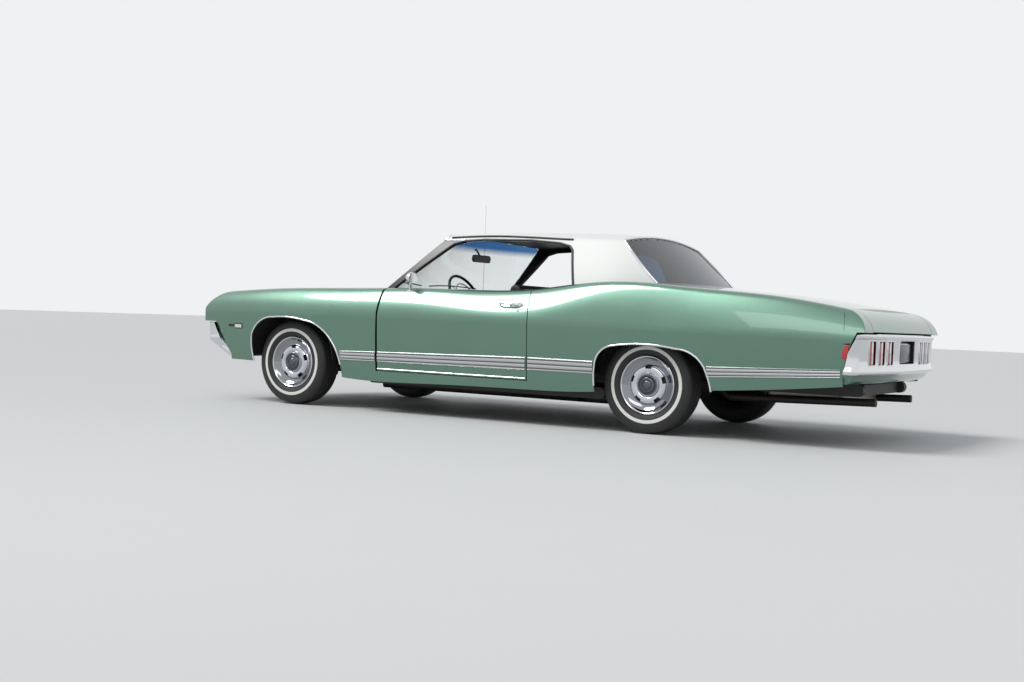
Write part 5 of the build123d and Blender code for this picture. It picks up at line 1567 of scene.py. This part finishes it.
cushion(
    "front_bench_cushion",
    [
        (0.532, 0.540), (0.548, 0.440), (0.530, 0.320), (0.062, 0.320), (0.066, 0.470), (0.078, 0.540),
        (0.300, 0.548)
    ],
    0.690, ["front_seat"], 0.075, 0.10, 0.50
)
for side, y0, y1 in (("right", -0.690, -0.012), ("left", 0.012, 0.690)):
    cushion(
        f"front_bench_back_{side}",
        [
            (0.030, 0.330), (-0.008, 0.425), (-0.118, 0.955), (-0.100, 0.980), (-0.070, 0.988),
            (-0.030, 0.976), (0.045, 0.575), (0.052, 0.450)
        ],
        y1, [], 0.075, -0.09, 0.2, y0, 0.010
    )
cushion(
    "rear_bench_cushion",
    [
        (-0.340, 0.505), (-0.325, 0.420), (-0.350, 0.320), (-0.700, 0.320), (-0.742, 0.470),
        (-0.715, 0.540), (-0.500, 0.528)
    ],
    0.612, ["rear_seat"], 0.075, -0.70, -0.38
)
cushion(
    "rear_bench_back",
    [
        (-0.752, 0.500), (-0.740, 0.570), (-0.806, 0.905), (-0.850, 0.940), (-0.900, 0.944),
        (-0.965, 0.926), (-0.812, 0.560), (-0.790, 0.500)
    ],
    0.612, [], 0.075, -0.9, -0.70
)

# %% [markdown]
# Under the hood stands a V-shaped engine: a block with leaning heads, two rocker covers, a
# round air cleaner and a fan. It replaces the plain solid, and the radiator keeps its own.

# %% Engine
metal = []
metal.append(prism(
    [
        (-0.13, 0.3125), (0.13, 0.3125), (0.15, 0.44), (0.24, 0.60), (0.17, 0.675), (0.07, 0.60),
        (-0.07, 0.60), (-0.17, 0.675), (-0.24, 0.60), (-0.15, 0.44)
    ],
    "x", 1.34, 1.90, 0.010, 2
))
for s in (1, -1):
    metal.append(prism(
        [
            (s * a, b)
            for a, b in [
                (0.150, 0.662), (0.228, 0.590), (0.258, 0.622), (0.246, 0.650), (0.192, 0.702),
                (0.170, 0.700)
            ]
        ],
        "x", 1.38, 1.87, 0.008, 3
    ))
    for x in np.linspace(1.42, 1.82, 4):
        metal.append(prism(
            rounded(x - 0.028, x + 0.028, s * 0.17 - 0.05, s * 0.17 + 0.05, 0.02), "z", 0.47, 0.50,
            0.008, 2, 1
        ))
metal.append(prism(rounded(1.46, 1.80, -0.075, 0.075, 0.03), "z", 0.59, 0.668, 0.012, 2, 1))
cleaner = turned_to(
    spun(
        [
            (0.0, 0.0), (0.0, 0.150), (0.012, 0.172), (0.060, 0.172), (0.072, 0.165), (0.078, 0.150),
            (0.080, 0.060), (0.088, 0.030), (0.088, 0.0)
        ],
        72
    ),
    (0, 0, 1), (1.640, 0, 0.700)
)
throat = turned_to(
    spun([(0, 0.0), (0.0, 0.055), (0.04, 0.055), (0.04, 0.0)], 32), (0, 0, 1), (1.640, 0, 0.664)
)
pulley = turned_to(
    spun(
        [
            (0, 0.0), (0, 0.085), (0.010, 0.092), (0.018, 0.080), (0.026, 0.092), (0.036, 0.085),
            (0.036, 0.0)
        ],
        48
    ),
    (1, 0, 0), (1.895, 0, 0.500)
)
for part in (cleaner, throat, pulley):
    for f in part.faces:
        f.material_index = 1
    metal.append(part)
BLADES = 5
for i in range(BLADES):
    blade = prism(
        [(0.03, -0.028), (0.17, -0.042), (0.178, 0.030), (0.03, 0.022)], "x", -0.0015, 0.0015, 0.0006,
        1, 1
    )
    bmesh.ops.rotate(blade, cent=(0, 0, 0), matrix=Matrix.Rotation(0.45, 3, "Y"), verts=blade.verts)
    bmesh.ops.rotate(
        blade, cent=(0, 0, 0), matrix=Matrix.Rotation(i * 2 * math.pi / BLADES, 3, "X"),
        verts=blade.verts
    )
    bmesh.ops.translate(blade, vec=(1.955, 0, 0.500), verts=blade.verts)
    metal.append(blade)
shown("engine_dressed", together(metal), [IRON, CHASSIS], "body", ["engine"])

# %% [markdown]
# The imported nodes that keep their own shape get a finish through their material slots, by a
# table of node and material.

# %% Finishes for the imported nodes
DARK_PIPE = material(
    "aged_pipe", (0.035, 0.032, 0.030), metallic=0.7, rough=0.55, grain=120, bump=0.3, spread=0.3
)
KEPT = {
    "chassis_frame": CHASSIS, "floor_pan": CARPET, "radiator": CHASSIS, "driveline": CHASSIS,
    "rear_axle": CHASSIS, "control_arms_left": CHASSIS, "control_arms_right": CHASSIS,
    "knuckle_left": WELL, "knuckle_right": WELL, "fuel_tank": EXHAUST,
    "exhaust_left": DARK_PIPE, "exhaust_right": DARK_PIPE, "tail_panel": CHASSIS,
    "parcel_shelf": CARPET, "interior_mirror": BLACK_PLASTIC, "antenna": CHROME,
    "grille": BLACK_PLASTIC, "steering_column": BLACK_PLASTIC,
}
for name, finish in KEPT.items():
    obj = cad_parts[name]
    for slot in obj.material_slots:
        slot.material = finish
print("packed nodes kept", len(KEPT))
print("not in the table", [n for n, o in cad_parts.items() if n not in KEPT and not o.hide_render])
